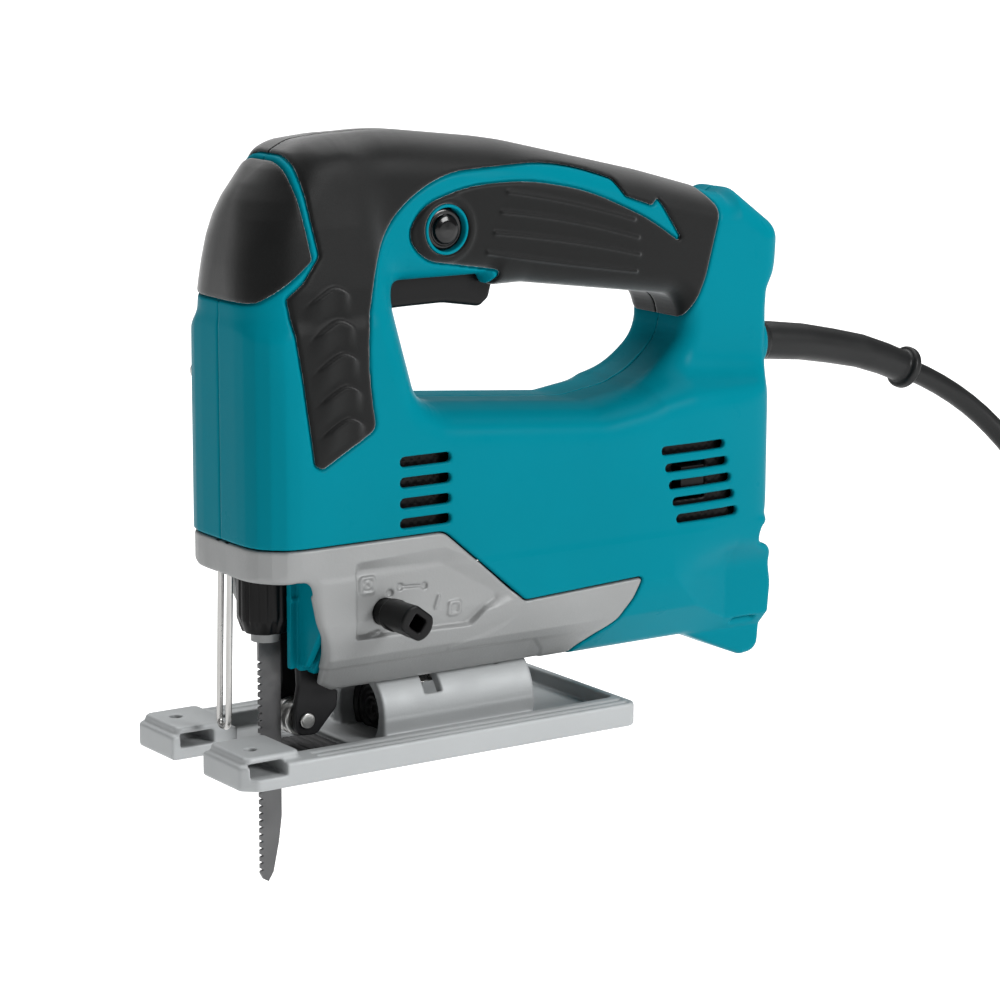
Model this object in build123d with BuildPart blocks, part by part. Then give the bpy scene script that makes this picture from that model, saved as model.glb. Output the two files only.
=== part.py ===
from build123d import *
from math import atan2, cos, degrees, hypot, pi, radians, sin, tan
import os

os.makedirs("parts", exist_ok=True)

# Corded jigsaw. Millimetres. Origin: centre of the shoe's underside. The blade is
# at the front, -X; the cord leaves at the rear, +X; the tool's left side is -Y.

# Shoe (base plate)
shoe_length = 158.0
shoe_width = 77.0
shoe_floor = 3.0
rim_height = 8.4
rim_width = 11.5
prong_height = 11.0
notch_half = 10.0
roller_bay_half = 15.0
roller_bay_rear = -21.0
rule_x = (-76.0, -63.0)
rule_z = (4.2, 8.8)
tilt_z = 10.0                # height of the bevel axis
hump_radius = 16.6
hump_x = (-12.0, 50.0)
bevel_bolt_x = 9.0

# Housing
half_width = 31.0
handle_half = 18.5
wall = 2.8
skin_out = 0.5               # rubber stands proud of the shell by this much
skin_in = 1.2                # and sits in a recess this deep

# Drive
rod_x = -48.5
rod_radius = 4.0
stroke = 23.0
motor_z = 82.0
gear_module = 0.8
pinion_teeth = 10
gear_teeth = 50
gear_z = motor_z + gear_module * (pinion_teeth + gear_teeth) / 2
fit = 0.05                   # radial clearance of running fits
shaft_radius = 4.0
core_x = (56.0, 94.0)
armature_radius = 15.0
stator_radius = 22.5

# Blade, roller and clamp
blade_front = -51.6
blade_back = -43.2
blade_half = 0.6
blade_tip = -44.4
roller_x, roller_z = -37.2, 12.0
roller_radius = 6.2
fork_pivot = (-30.0, 46.0)
sleeve_radius = 9.7
holder_radius = 6.5
lever_x, lever_z = -18.7, 51.2

# Cord
cord_diameter = 8.0
coil_radius = 48.0
floor_z = -71.0

# Outlines: ((x, z), corner radius)
HANDLE = [((-60, 100), 0), ((-60, 203), 17), ((-10, 209.5), 120), ((40, 203.5), 120),
          ((100, 189.5), 120), ((134, 179.8), 1.5), ((138.5, 182.4), 3), ((158, 167), 8),
          ((152.8, 139), 12), ((153.2, 100), 0)]
MOTOR = [((-66, 76), 0), ((-66.5, 165), 60), ((-52, 204), 17), ((-22, 206), 10),
         ((-12, 150), 30), ((-3, 117), 12), ((72, 110), 25), ((110, 116), 20),
         ((150, 112), 10), ((153.2, 84), 40), ((149, 65), 20), ((139.5, 57), 4),
         ((152, 52), 8), ((154, 38), 20), ((151.8, 12), 5), ((144, 11), 5),
         ((124, 19.5), 6), ((118, 22.3), 8), ((76, 22.3), 3), ((67, 24.8), 0),
         ((79, 34), 10), ((84, 42.5), 10), ((86.5, 50.4), 0), ((37, 48.2), 3), ((4, 76), 7)]
FINGER_HOLE = [((-11.5, 156.5), 6), ((-2.5, 115.5), 16), ((72, 109), 25), ((97, 112.5), 25),
               ((115.5, 133), 14), ((112, 146.5), 9), ((40, 156.8), 60)]
GEAR_CASE = [((-66, 64), 1.5), ((-66, 76), 0), ((4, 76), 7), ((37, 48.2), 3),
             ((86.5, 50.4), 0), ((84, 42.5), 10), ((79, 34), 10), ((67, 24.8), 6),
             ((-31, 22), 4), ((-37.5, 25.5), 3), ((-40, 38), 20), ((-45, 50), 8), ((-48, 64), 3)]
CAP = [((-80, 156.5), 0), ((-62, 156.5), 6), ((-50, 165), 4), ((-43.6, 170), 2),
       ((-45.5, 182), 30), ((-49.5, 214), 0), ((-80, 214), 0)]
GRIP = [((-47, 214), 0), ((-43, 182), 30), ((-41, 171.4), 2), ((-47.6, 163.4), 3),
        ((-54, 158.5), 2), ((-50.3, 132), 60), ((-46.5, 103.5), 2), ((-43.5, 102), 2),
        ((-22.5, 113.5), 4), ((-26.5, 140), 30), ((-19, 168), 25), ((-5.5, 186), 18),
        ((12, 195), 30), ((60, 196.4), 60), ((82.5, 188.6), 3), ((86.5, 182.4), 2.5),
        ((97.5, 178.6), 1), ((100.4, 181), 0.8), ((111.8, 164.2), 0.8), ((96, 174.6), 20),
        ((70, 186), 50), ((45, 190.8), 50), ((20, 190.2), 25), ((2, 184.4), 9),
        ((-3.6, 174.8), 6), ((2.8, 166), 6), ((36.6, 160.2), 2), ((33, 157), 1),
        ((33, 140), 0), ((60, 132), 0), ((100, 132), 0), ((113, 135), 3), ((121.3, 151), 40),
        ((128, 176), 5), ((124, 182), 3), ((124, 214), 0)]


def face_outline(points):
    return FilletPolyline(*[p for p, _ in points], radius=[r for _, r in points], close=True)


def prism(points, half, grow=0.0):
    """Outline in XZ, extruded to both sides of Y = 0."""
    with BuildPart(mode=Mode.PRIVATE) as solid:
        with BuildSketch(Plane.XZ.offset(-half - grow)):
            with BuildLine():
                face_outline(points)
            make_face()
            if grow:
                offset(amount=grow, kind=Kind.INTERSECTION)
        extrude(amount=2 * (half + grow))
    return solid.part


def trim(grow):
    """The shape seen from the front and from above: narrow at the top, round at the nose."""
    with BuildPart(mode=Mode.PRIVATE) as solid:
        with BuildSketch(Plane.YZ.offset(-80)):
            side = [(half_width + grow, -10), (half_width + grow, 100), (26.5 + grow, 160),
                    (20 + grow, 212 + grow)]
            Polygon(*side, *[(-y, z) for y, z in reversed(side)], align=None)
        extrude(amount=260)
        with BuildSketch(Plane.XY):
            with BuildLine():
                rim = half_width + grow
                FilletPolyline((-66.5 - grow, -rim), (110, -rim), (158 + grow, -24 - grow),
                               (158 + grow, 24 + grow), (110, rim), (-66.5 - grow, rim),
                               radius=[20 + grow, 60, 10 + grow, 10 + grow, 60, 20 + grow],
                               close=True)
            make_face()
        extrude(amount=230, mode=Mode.INTERSECT)
    return solid.part


def body(grow):
    """The whole moulded body, grown or shrunk evenly."""
    with BuildPart(mode=Mode.PRIVATE) as solid:
        add(prism(MOTOR, half_width, grow))
        add(prism(HANDLE, handle_half, grow))
        add(prism(FINGER_HOLE, 40, -grow), mode=Mode.SUBTRACT)
        add(trim(grow), mode=Mode.INTERSECT)
    return solid.part


def belly(inset=0.0):
    """What the tilting shoe sweeps beside the underside, on both sides."""
    with BuildPart(mode=Mode.PRIVATE) as solid:
        with BuildSketch(Plane.YZ.offset(-80)):
            Polygon((half_width + 1 - inset, 49), (25.5 - inset, 36), (14 - inset, 22 + inset),
                    (14 - inset, 5), (60, 5), (60, 49), align=None)
            mirror(about=Plane.YZ)
        extrude(amount=160)
    return solid.part


def rod_along_x(radius, x0, x1, y=0.0, z=0.0):
    return Pos((x0 + x1) / 2, y, z) * Rot(0, 90, 0) * Cylinder(radius, x1 - x0, mode=Mode.PRIVATE)


def rod_along_y(radius, y0, y1, x, z):
    return Pos(x, (y0 + y1) / 2, z) * Rot(90, 0, 0) * Cylinder(radius, y1 - y0, mode=Mode.PRIVATE)


def rod_along_z(radius, z0, z1, x, y=0.0):
    return Pos(x, y, (z0 + z1) / 2) * Cylinder(radius, z1 - z0, mode=Mode.PRIVATE)


def block(x, y, z):
    """A box between limits, which may be given in either order."""
    sides = [abs(limit[1] - limit[0]) for limit in (x, y, z)]
    return Pos(sum(x) / 2, sum(y) / 2, sum(z) / 2) * Box(*sides, mode=Mode.PRIVATE)


full = body(0)
cavity = body(-wall)
recess = body(-skin_in)
raised = body(skin_out)

# Dust duct: a narrow run under the motor that widens to the hose port at the rear
duct_z, port_z = 46.0, 36.0
duct_radius, port_radius = 7.5, 14.8
port_bore, duct_bore = 12.6, 6.0


def duct(shrink_duct, shrink_port, start, end):
    with BuildPart(mode=Mode.PRIVATE) as solid:
        add(rod_along_x(duct_radius - shrink_duct, start, 70, z=duct_z))
        with BuildSketch(Plane.YZ.offset(70)):
            with Locations((0, duct_z)):
                Circle(duct_radius - shrink_duct)
        with BuildSketch(Plane.YZ.offset(126)):
            with Locations((0, port_z)):
                Circle(port_radius - shrink_port)
        loft()
        add(rod_along_x(port_radius - shrink_port, 126, end, z=port_z))
    return solid.part


duct_outer = duct(0, 0, -20, 152)
duct_seat = duct(0, 0, -20, 160)
with BuildPart() as dust_tube:
    add(duct_outer)
    add(duct(duct_radius - duct_bore, port_radius - port_bore, -21, 160), mode=Mode.SUBTRACT)

# Cord guard: a tapering sleeve that follows the cord's first bend
guard_route = [(150, 0, 124.6), (180, 0, 122.2), (208, 0, 116.8), (232, 0, 107.1)]
with BuildPart() as cord_guard:
    with BuildLine() as guard_line:
        FilletPolyline(*guard_route, radius=[140, 90])
    with BuildSketch(Plane(origin=guard_route[0], z_dir=guard_line.line % 0)):
        Circle(7.2)
    sweep()
    guard_end = Plane(origin=guard_route[-1], z_dir=guard_line.line % 1)
    with BuildSketch(guard_end.offset(-3.5)):
        Circle(8.1)
    extrude(amount=3.5)

# Screw places: (x, z, half-width of the shell there)
screws = [(-58, 129, 27.2), (16, 102, 30.6), (104, 62, 31.0), (142, 100, 26.0), (139, 150, 18.5)]
with BuildPart() as housing_screws:
    for x, z, y in screws:
        add(rod_along_y(3.4, y - 3.0, y - 1.0, x, z))
        add(rod_along_y(1.6, -8, y - 3.0, x, z))
        add(block((x - 2.3, x + 2.3), (y - 1.7, y), (z - 0.5, z + 0.5)), mode=Mode.SUBTRACT)

# Trigger opening, button hole and cooling slots
trigger_slot = block((-6.6, 41), (-8.6, 8.6), (146, 164))
front_slots = [(-3.5, z) for z in (101.4, 94.4, 87.4, 80.6)]
rear_slots = [(108.7 + 1.7 * i, 94 - 6.2 * i) for i in range(5)]
ribs_at = [(57, 60), (90, 93), (123, 131)]

with BuildPart() as inner_walls:
    for x in ribs_at:
        add(block(x, (-40, 40), (52, 107.5)))
    for x, z, y in screws:
        add(rod_along_y(4.4, -y, y, x, z))
    add(cavity, mode=Mode.INTERSECT)
    add(rod_along_x(stator_radius, 40, 121, z=motor_z), mode=Mode.SUBTRACT)
    add(rod_along_x(9.5, 120, 135, z=motor_z), mode=Mode.SUBTRACT)

with BuildPart() as housing:
    add(full)
    add(cavity, mode=Mode.SUBTRACT)
    add(inner_walls.part)
    add(block((-59.5, -0.5), (-26, 26), (70, 82)) & trim(-wall), mode=Mode.SUBTRACT)
    add(block((-1, 16), (-8, 8), (60, 92)), mode=Mode.SUBTRACT)
    add(belly(), mode=Mode.SUBTRACT)
    add(duct_seat, mode=Mode.SUBTRACT)
    add(cord_guard.part, mode=Mode.SUBTRACT)
    add(trigger_slot, mode=Mode.SUBTRACT)
    add(rod_along_y(7.35, -40, -10, 11.9, 176.1), mode=Mode.SUBTRACT)
    with BuildSketch(Plane.XZ.offset(-40)):
        with Locations(*front_slots):
            SlotOverall(20.4, 3.5)
        with Locations(*rear_slots):
            SlotOverall(28.4, 3.2)
    extrude(amount=80, mode=Mode.SUBTRACT)
    for z in (77, 84, 91):
        add(block((147, 160), (-16, 16), (z - 1.2, z + 1.2)), mode=Mode.SUBTRACT)
    for x, z, y in screws:
        add(rod_along_y(3.7, y - 3.0, y + 6, x, z), mode=Mode.SUBTRACT)
        add(rod_along_y(1.6, -8, y, x, z), mode=Mode.SUBTRACT)
    cap_zone, grip_zone = prism(CAP, 45), prism(GRIP, 45)
    add((cap_zone & full) - recess, mode=Mode.SUBTRACT)
    add((grip_zone & full) - recess, mode=Mode.SUBTRACT)

with BuildPart() as housing_left:
    add(housing.part)
    split(bisect_by=Plane.XZ, keep=Keep.TOP)

with BuildPart() as housing_right:
    add(housing.part)
    split(bisect_by=Plane.XZ, keep=Keep.BOTTOM)

# Rubber skins: a nose cap and two grips, each in its recess
skin = raised - recess
with BuildPart() as nose_cap:
    add(skin & cap_zone)

with BuildPart() as grips:
    add(skin & grip_zone)
    add(rod_along_y(7.35, -40, -10, 11.9, 176.1), mode=Mode.SUBTRACT)
    add(trigger_slot, mode=Mode.SUBTRACT)

with BuildPart() as grip_left:
    add(grips.part)
    split(bisect_by=Plane.XZ, keep=Keep.TOP)

with BuildPart() as grip_right:
    add(grips.part)
    split(bisect_by=Plane.XZ, keep=Keep.BOTTOM)

# Blade guard wire: a U of wire in front of the blade
wire_radius = 1.1
with BuildPart() as guard_wire:
    with BuildLine() as wire_line:
        FilletPolyline((-63.5, -3, 74), (-65, -3, 12.5), (-65, 3, 12.5), (-63.5, 3, 74), radius=2.4)
    with BuildSketch(Plane(origin=(-63.5, -3, 74), z_dir=wire_line.line % 0)):
        Circle(wire_radius)
    sweep()

# Gear housing: cast skirt and legs, a deck, the motor's front plate and a rod bracket
bush_radius, bush_low, bush_high = 7.0, (70.5, 84.0), (134.0, 144.0)
plate_x = (-7.0, -1.0)
with BuildPart() as gear_housing:
    add(prism(GEAR_CASE, half_width + 0.4))
    add(trim(0.4), mode=Mode.INTERSECT)
    add(belly(), mode=Mode.SUBTRACT)
    add(prism(GEAR_CASE, half_width, -3) - belly(3.2), mode=Mode.SUBTRACT)
    add(block((-64, -42), (-27, 27), (60, 72.8)) & trim(-wall), mode=Mode.SUBTRACT)
    with BuildSketch(Plane.YZ.offset(-64)):
        Polygon((0, 15), (11, 15), (11, 24), (27, 47), (27, 66), (0, 66), align=None)
        mirror(about=Plane.YZ)
    extrude(amount=39, mode=Mode.SUBTRACT)
    for y in (-1, 1):
        add(block((-36, -24), (y * 22, y * 27), (40, 52)))
        add(block((-52.5, -24), (y * 19, y * 22), (75, 143)))
    add(block((-58, -24), (-22, 22), (136, 143)))
    add(block(plate_x, (-22, 22), (73, 112)))
    add(rod_along_y(7.2, -29, -24, lever_x, lever_z))
    add(rod_along_z(9.5, 73, 83, rod_x))
    add(block((bevel_bolt_x - 6, bevel_bolt_x + 6), (-7, 7), (24, 38)))
    add(rod_along_x(hump_radius + 0.6, hump_x[0] - 1, hump_x[1] + 1, z=tilt_z), mode=Mode.SUBTRACT)
    add(rod_along_x(9.5, *plate_x, z=motor_z), mode=Mode.SUBTRACT)
    add(rod_along_x(4.0, *plate_x, z=gear_z), mode=Mode.SUBTRACT)
    add(rod_along_z(bush_radius, 67, 147, rod_x), mode=Mode.SUBTRACT)
    add(rod_along_y(4.5 + fit, -40, -20, lever_x, lever_z), mode=Mode.SUBTRACT)
    add(rod_along_y(2.5, -25, 25, *fork_pivot), mode=Mode.SUBTRACT)
    add(rod_along_z(3, 20, 36, bevel_bolt_x), mode=Mode.SUBTRACT)
    add(duct_outer, mode=Mode.SUBTRACT)
    add(guard_wire.part, mode=Mode.SUBTRACT)

# Moulded cover behind the blade clamp: a half pipe, with a wing to each leg of the casting
with BuildPart() as insulation_cover:
    with BuildSketch(Plane.XY.offset(32)):
        with Locations((rod_x, 0)):
            Circle(sleeve_radius + 3.4)
            Circle(sleeve_radius + 0.9, mode=Mode.SUBTRACT)
        with Locations((rod_x - 18, 0)):
            Rectangle(40, 60, mode=Mode.SUBTRACT)
    extrude(amount=40)
    with BuildSketch(Plane.YZ.offset(-43.0)):
        Polygon((-11.8, 33), (-16.6, 33), (-26.7, 47.6), (-26.7, 72), (-11.8, 72), align=None)
        Polygon((11.8, 52), (26.7, 52), (26.7, 72), (11.8, 72), align=None)
    extrude(amount=2.6)
    add(block((-50, -30), (-8.4, 8.4), (29, 53)), mode=Mode.SUBTRACT)

# Fixed parts of the drive
with BuildPart() as slide_bush_lower:
    add(rod_along_z(bush_radius, *bush_low, rod_x))
    add(rod_along_z(rod_radius + fit, 60, 90, rod_x), mode=Mode.SUBTRACT)

with BuildPart() as slide_bush_upper:
    add(rod_along_z(bush_radius, *bush_high, rod_x))
    add(rod_along_z(rod_radius + fit, 120, 150, rod_x), mode=Mode.SUBTRACT)

with BuildPart() as front_bearing:
    add(rod_along_x(9.5, *plate_x, z=motor_z))
    add(rod_along_x(shaft_radius + fit, -10, 2, z=motor_z), mode=Mode.SUBTRACT)

with BuildPart() as rear_bearing:
    add(rod_along_x(9.5, 124, 130, z=motor_z))
    add(rod_along_x(shaft_radius + fit, 120, 140, z=motor_z), mode=Mode.SUBTRACT)

with BuildPart() as gear_pin:
    add(rod_along_x(4.0, -19.5, -1, z=gear_z))

with BuildPart() as retainer_pin:
    add(rod_along_y(2.5, -25, 25, *fork_pivot))

with BuildPart() as stator_core:
    add(rod_along_x(stator_radius, 57, 93, z=motor_z))
    add(rod_along_x(armature_radius + 0.7, 50, 100, z=motor_z), mode=Mode.SUBTRACT)
    for y in (-21, 21):
        add(block((50, 100), (y, y * 2), (60, 104)), mode=Mode.SUBTRACT)

with BuildPart() as stator_windings:
    for x in ((49, 57), (93, 100)):
        with BuildSketch(Plane.YZ.offset(x[0])):
            with Locations((0, motor_z)):
                Circle(20.5)
                Circle(armature_radius + 0.9, mode=Mode.SUBTRACT)
            for y in (-1, 1):
                with Locations((y * 20, motor_z)):
                    Rectangle(20, 9, mode=Mode.SUBTRACT)
        extrude(amount=x[1] - x[0])

with BuildPart() as baffle:
    add(rod_along_x(24, 42.5, 45, z=motor_z))
    add(rod_along_x(16, 40, 50, z=motor_z), mode=Mode.SUBTRACT)

brush_z = (motor_z - 5, motor_z + 5)
with BuildPart() as brush_holders:
    for y in (-1, 1):
        add(block((105, 115), (y * 13, y * 27), brush_z))
        add(block((107, 113), (y * 12, y * 26), (motor_z - 3.5, motor_z + 3.5)),
            mode=Mode.SUBTRACT)

with BuildPart() as carbon_brushes:
    for y in (-1, 1):
        add(block((107, 113), (y * 11, y * 22), (motor_z - 3.5, motor_z + 3.5)))

with BuildPart() as switch_body:
    add(block((2, 46), (-8, 8), (173, 193)))

with BuildPart() as cord_clamp:
    add(block((136, 144), (-13, 13), (117, 132)))
    add(rod_along_x(cord_diameter / 2, 130, 150, z=124.6), mode=Mode.SUBTRACT)

# Bevel bolt and the curved plate that clamps the hump
with BuildPart() as bevel_clamp_plate:
    add(rod_along_x(12.2, bevel_bolt_x - 5.2, bevel_bolt_x + 12, z=tilt_z))
    add(block((-60, 60), (-20, 20), (-20, 19)), mode=Mode.SUBTRACT)
    add(rod_along_z(3, 10, 30, bevel_bolt_x), mode=Mode.SUBTRACT)

with BuildPart() as bevel_bolt:
    add(rod_along_z(4.5, 15, 19, bevel_bolt_x))
    add(rod_along_z(3, 19, 36, bevel_bolt_x))
    with BuildSketch(Plane.XY.offset(15)):
        with Locations((bevel_bolt_x, 0)):
            RegularPolygon(2.4, 6)
    extrude(amount=2.5, mode=Mode.SUBTRACT)

# Shoe: pressed and cast plate with raised rims, two prongs, rule windows and a hump
shoe_front = -shoe_length / 2
with BuildPart() as base_plate:
    with BuildSketch():
        with BuildLine():
            FilletPolyline((shoe_front, 34), (shoe_front, -34), (shoe_front + 5, -shoe_width / 2),
                           (-shoe_front, -shoe_width / 2), (-shoe_front, shoe_width / 2),
                           (shoe_front + 5, shoe_width / 2), radius=[2.5, 2.5, 4, 4, 2.5, 2.5],
                           close=True)
        make_face()
    extrude(amount=rim_height)
    with BuildSketch(Plane.XY.offset(rim_height)):
        for y in (-1, 1):
            with Locations((shoe_front + 12.5, y * 22.75)):
                Rectangle(21, 24.5)
    extrude(amount=prong_height - rim_height)
    inner = shoe_width / 2 - rim_width
    with BuildSketch(Plane.XY.offset(shoe_floor)):
        with Locations((26, 0)):
            RectangleRounded(100, 2 * inner, 3)
    extrude(amount=20, mode=Mode.SUBTRACT)
    for y in (-1, 1):
        for rib in (31.2, 35.2):
            add(block((-50, 76), (y * rib, y * (rib + 1.4)),
                      (rim_height - 0.8, rim_height + 5)), mode=Mode.SUBTRACT)
        add(block((-54, -24), (y * roller_bay_half, y * inner), (shoe_floor, 20)),
            mode=Mode.SUBTRACT)
    add(block((-80, -50), (-notch_half, notch_half), (-1, 20)), mode=Mode.SUBTRACT)
    add(block((-53, roller_bay_rear), (-roller_bay_half, roller_bay_half), (-1, 20)),
        mode=Mode.SUBTRACT)
    add(block(rule_x, (-50, 50), rule_z), mode=Mode.SUBTRACT)
    for y in (-25, 25):
        add(rod_along_z(2.1, 6, 14, sum(rule_x) / 2, y), mode=Mode.SUBTRACT)
    add(rod_along_x(hump_radius, *hump_x, z=tilt_z) - block((-20, 60), (-30, 30), (-20, 0)))
    inside = (3.0, hump_x[1] - 4)
    add(rod_along_x(12.6, *inside, z=tilt_z), mode=Mode.SUBTRACT)
    add(block(inside, (-12.6, 12.6), (-1, tilt_z)), mode=Mode.SUBTRACT)
    with BuildSketch(Plane.YZ.offset(bevel_bolt_x - 3.4)):
        Polygon((0, tilt_z), (26, tilt_z + 12), (0, 60), (-26, tilt_z + 12), align=None)
    extrude(amount=6.8, mode=Mode.SUBTRACT)
    add(rod_along_x(12.6, hump_x[0] - 1, -4, z=tilt_z)
        & block((-20, 0), (-20, 20), (shoe_floor, 30)), mode=Mode.SUBTRACT)
    add(rod_along_z(2.3, 18, 30, 37, -8.5), mode=Mode.SUBTRACT)

# Plunger: rod, slotted yoke, blade holder and blade
with BuildPart() as slider_rod:
    add(rod_along_z(rod_radius, 64, 168, rod_x))
    chamfer(edges().sort_by(Axis.Z)[-1], 1)

crank = stroke / 2
yoke_z = gear_z + crank
with BuildPart() as yoke:
    add(block((-44, -35.2), (-18, 18), (yoke_z - 8, yoke_z + 8)))
    add(rod_along_z(6.8, yoke_z - 6, yoke_z + 6, rod_x))
    add(block((-60, -30), (-15.8, 15.8), (yoke_z - 4, yoke_z + 4))
        & block((-42.5, -30), (-20, 20), (0, 200)), mode=Mode.SUBTRACT)
    add(rod_along_z(rod_radius, 90, 140, rod_x), mode=Mode.SUBTRACT)

shank_top = 60.0
with BuildPart() as blade_holder:
    add(rod_along_z(holder_radius, 43, 67.5, rod_x))
    add(rod_along_z(5, 40, 43, rod_x))
    add(rod_along_z(rod_radius, 64, 70, rod_x), mode=Mode.SUBTRACT)
    add(block((blade_front, blade_back), (-blade_half, blade_half), (30, shank_top)),
        mode=Mode.SUBTRACT)

tooth_pitch, tooth_depth, teeth_top = 2.5, 1.2, 33.0
with BuildPart() as blade:
    with BuildSketch(Plane.XZ.offset(-blade_half)):
        with BuildLine():
            Polyline((blade_front, shank_top), (blade_back, shank_top), (blade_back, -22),
                     (-44.4, -31), (-46.6, -41.2), (-48.6, blade_tip), (-50.4, -43.4),
                     (blade_front, -41.2), close=True)
        make_face()
        for i in range(30):
            z = teeth_top - tooth_pitch * i
            with Locations((blade_front, z)):
                Polygon((-0.3, 0.2), (tooth_depth, -0.6), (-0.3, 1.4 - tooth_pitch), align=None,
                        mode=Mode.SUBTRACT)
    extrude(amount=2 * blade_half)

with BuildPart() as clamp_sleeve:
    with BuildSketch(Plane.XZ):
        with Locations((rod_x, 0)):
            Polygon((holder_radius + 0.08, 43.2), (7.9, 43.2), (sleeve_radius, 47),
                    (sleeve_radius, 66), (8.9, 67), (holder_radius + 0.08, 67), align=None)
    revolve(axis=Axis((rod_x, 0, 0), (0, 0, 1)))

# Roller and its swinging fork
with BuildPart() as retainer_fork:
    for y in (-1, 1):
        with BuildSketch(Plane.XZ.offset(-y * 6 - 1.4)):
            with BuildLine():
                FilletPolyline((-36.5, 52), (-24, 52), (-25.5, 42), (-30.5, 37), (-30.5, 25),
                           (-24.5, 20.5), (-25, 15), (-33, 6.4), (-41.5, 6.8), (-41.5, 16),
                           (-38.2, 22), (-37.2, 38),
                           radius=[5, 5, 3, 3, 3, 2, 3, 4, 4, 5, 5, 8], close=True)
            make_face()
        extrude(amount=2.8)
    add(block((-31.5, -27.5), (-5, 5), (22, 38)))
    add(rod_along_y(5.6, -5, 5, *fork_pivot))
    add(rod_along_y(2.5 + fit, -20, 20, *fork_pivot), mode=Mode.SUBTRACT)
    add(rod_along_y(2.0, -20, 20, roller_x, roller_z), mode=Mode.SUBTRACT)

with BuildPart() as roller_pin:
    add(rod_along_y(2.0, -8.6, 8.6, roller_x, roller_z))

with BuildPart() as roller:
    add(rod_along_y(roller_radius, -4.2, 4.2, roller_x, roller_z))
    with BuildSketch(Plane.XZ.offset(-1.1)):
        with Locations((roller_x, roller_z)):
            Circle(roller_radius + 1)
            Circle(5.5, mode=Mode.SUBTRACT)
    extrude(amount=2.2, mode=Mode.SUBTRACT)
    add(rod_along_y(2.0 + fit, -9, 9, roller_x, roller_z), mode=Mode.SUBTRACT)

# Trigger and lock button
trigger_pivot = (-1.5, 163.0)
with BuildPart() as trigger:
    with BuildSketch(Plane.XZ.offset(-8)):
        with BuildLine():
            FilletPolyline((-5.4, 166), (-5.4, 149.2), (2, 149.4), (18, 149.6), (33, 147.2),
                           (36.6, 150), (38.2, 156), (36, 164), (20, 166),
                           radius=[2, 2.5, 4, 20, 3, 3, 3, 3, 3], close=True)
        make_face()
    extrude(amount=16)
    chamfer(edges().filter_by(Plane.XZ).filter_by(GeomType.LINE), 0.8)
    add(rod_along_y(2.05, -20, 20, *trigger_pivot), mode=Mode.SUBTRACT)

with BuildPart() as trigger_pin:
    add(rod_along_y(2.0, -12, 12, *trigger_pivot))

with BuildPart() as lock_button:
    add(rod_along_y(7.0, -17.6, -12.0, 11.9, 176.1))
    add(rod_along_y(5.2, -20.4, -17.6, 11.9, 176.1))
    chamfer(edges().sort_by(Axis.Y)[0], 0.8)

# Orbital lever: a peg with a cross hole, and its cam inside the casting
with BuildPart() as change_lever:
    with BuildSketch(Plane.XZ.offset(32.2)):
        with Locations((lever_x, lever_z)):
            Circle(5.4)
    with BuildSketch(Plane.XZ.offset(48)):
        with Locations((lever_x, lever_z)):
            Circle(6.2)
    loft()
    add(rod_along_y(4.5, -32.2, -24, lever_x, lever_z))
    with BuildSketch(Plane.XZ.offset(41)):
        with Locations((lever_x, lever_z)):
            Rectangle(4.6, 4.6, rotation=45)
    extrude(amount=8, mode=Mode.SUBTRACT)

with BuildPart() as lever_cam:
    with BuildSketch(Plane.XZ.offset(11)):
        with Locations((lever_x, lever_z)):
            Circle(4.5)
        with Locations((lever_x, lever_z - 3)):
            Rectangle(5, 9)
    extrude(amount=10)
    add(rod_along_y(4.5, -24, -21, lever_x, lever_z))

# Armature
with BuildPart() as armature_shaft:
    add(rod_along_x(shaft_radius, -9, 134, z=motor_z))
    with BuildSketch(Plane.YZ.offset(-18)):
        with Locations((0, motor_z)):
            Circle(3.15)
            with PolarLocations(0, pinion_teeth, start_angle=90):
                Polygon((2.5, -0.66), (4.0, -0.42), (4.56, -0.2), (4.56, 0.2), (4.0, 0.42),
                        (2.5, 0.66), align=None)
    extrude(amount=9)

with BuildPart() as armature_core:
    with BuildSketch(Plane.YZ.offset(core_x[0])):
        with Locations((0, motor_z)):
            Circle(armature_radius)
            Circle(shaft_radius, mode=Mode.SUBTRACT)
            with PolarLocations(armature_radius - 1, 12):
                Rectangle(4, 1.8, mode=Mode.SUBTRACT)
    extrude(amount=core_x[1] - core_x[0])

with BuildPart() as armature_windings:
    for x in ((48, core_x[0]), (core_x[1], 101)):
        add(rod_along_x(12.6, *x, z=motor_z))
    add(rod_along_x(shaft_radius, 40, 110, z=motor_z), mode=Mode.SUBTRACT)

with BuildPart() as commutator:
    with BuildSketch(Plane.YZ.offset(103)):
        with Locations((0, motor_z)):
            Circle(10.5)
            Circle(shaft_radius, mode=Mode.SUBTRACT)
            with PolarLocations(10.4, 24):
                Rectangle(1.6, 0.5, mode=Mode.SUBTRACT)
    extrude(amount=14)

with BuildPart() as fan:
    add(rod_along_x(21.5, 28, 30, z=motor_z))
    add(rod_along_x(8, 30, 40, z=motor_z))
    with BuildSketch(Plane.YZ.offset(30)):
        with Locations((0, motor_z)):
            with PolarLocations(14.5, 12):
                Rectangle(14, 1.6, rotation=20)
    extrude(amount=9)
    add(rod_along_x(shaft_radius, 20, 50, z=motor_z), mode=Mode.SUBTRACT)

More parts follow.
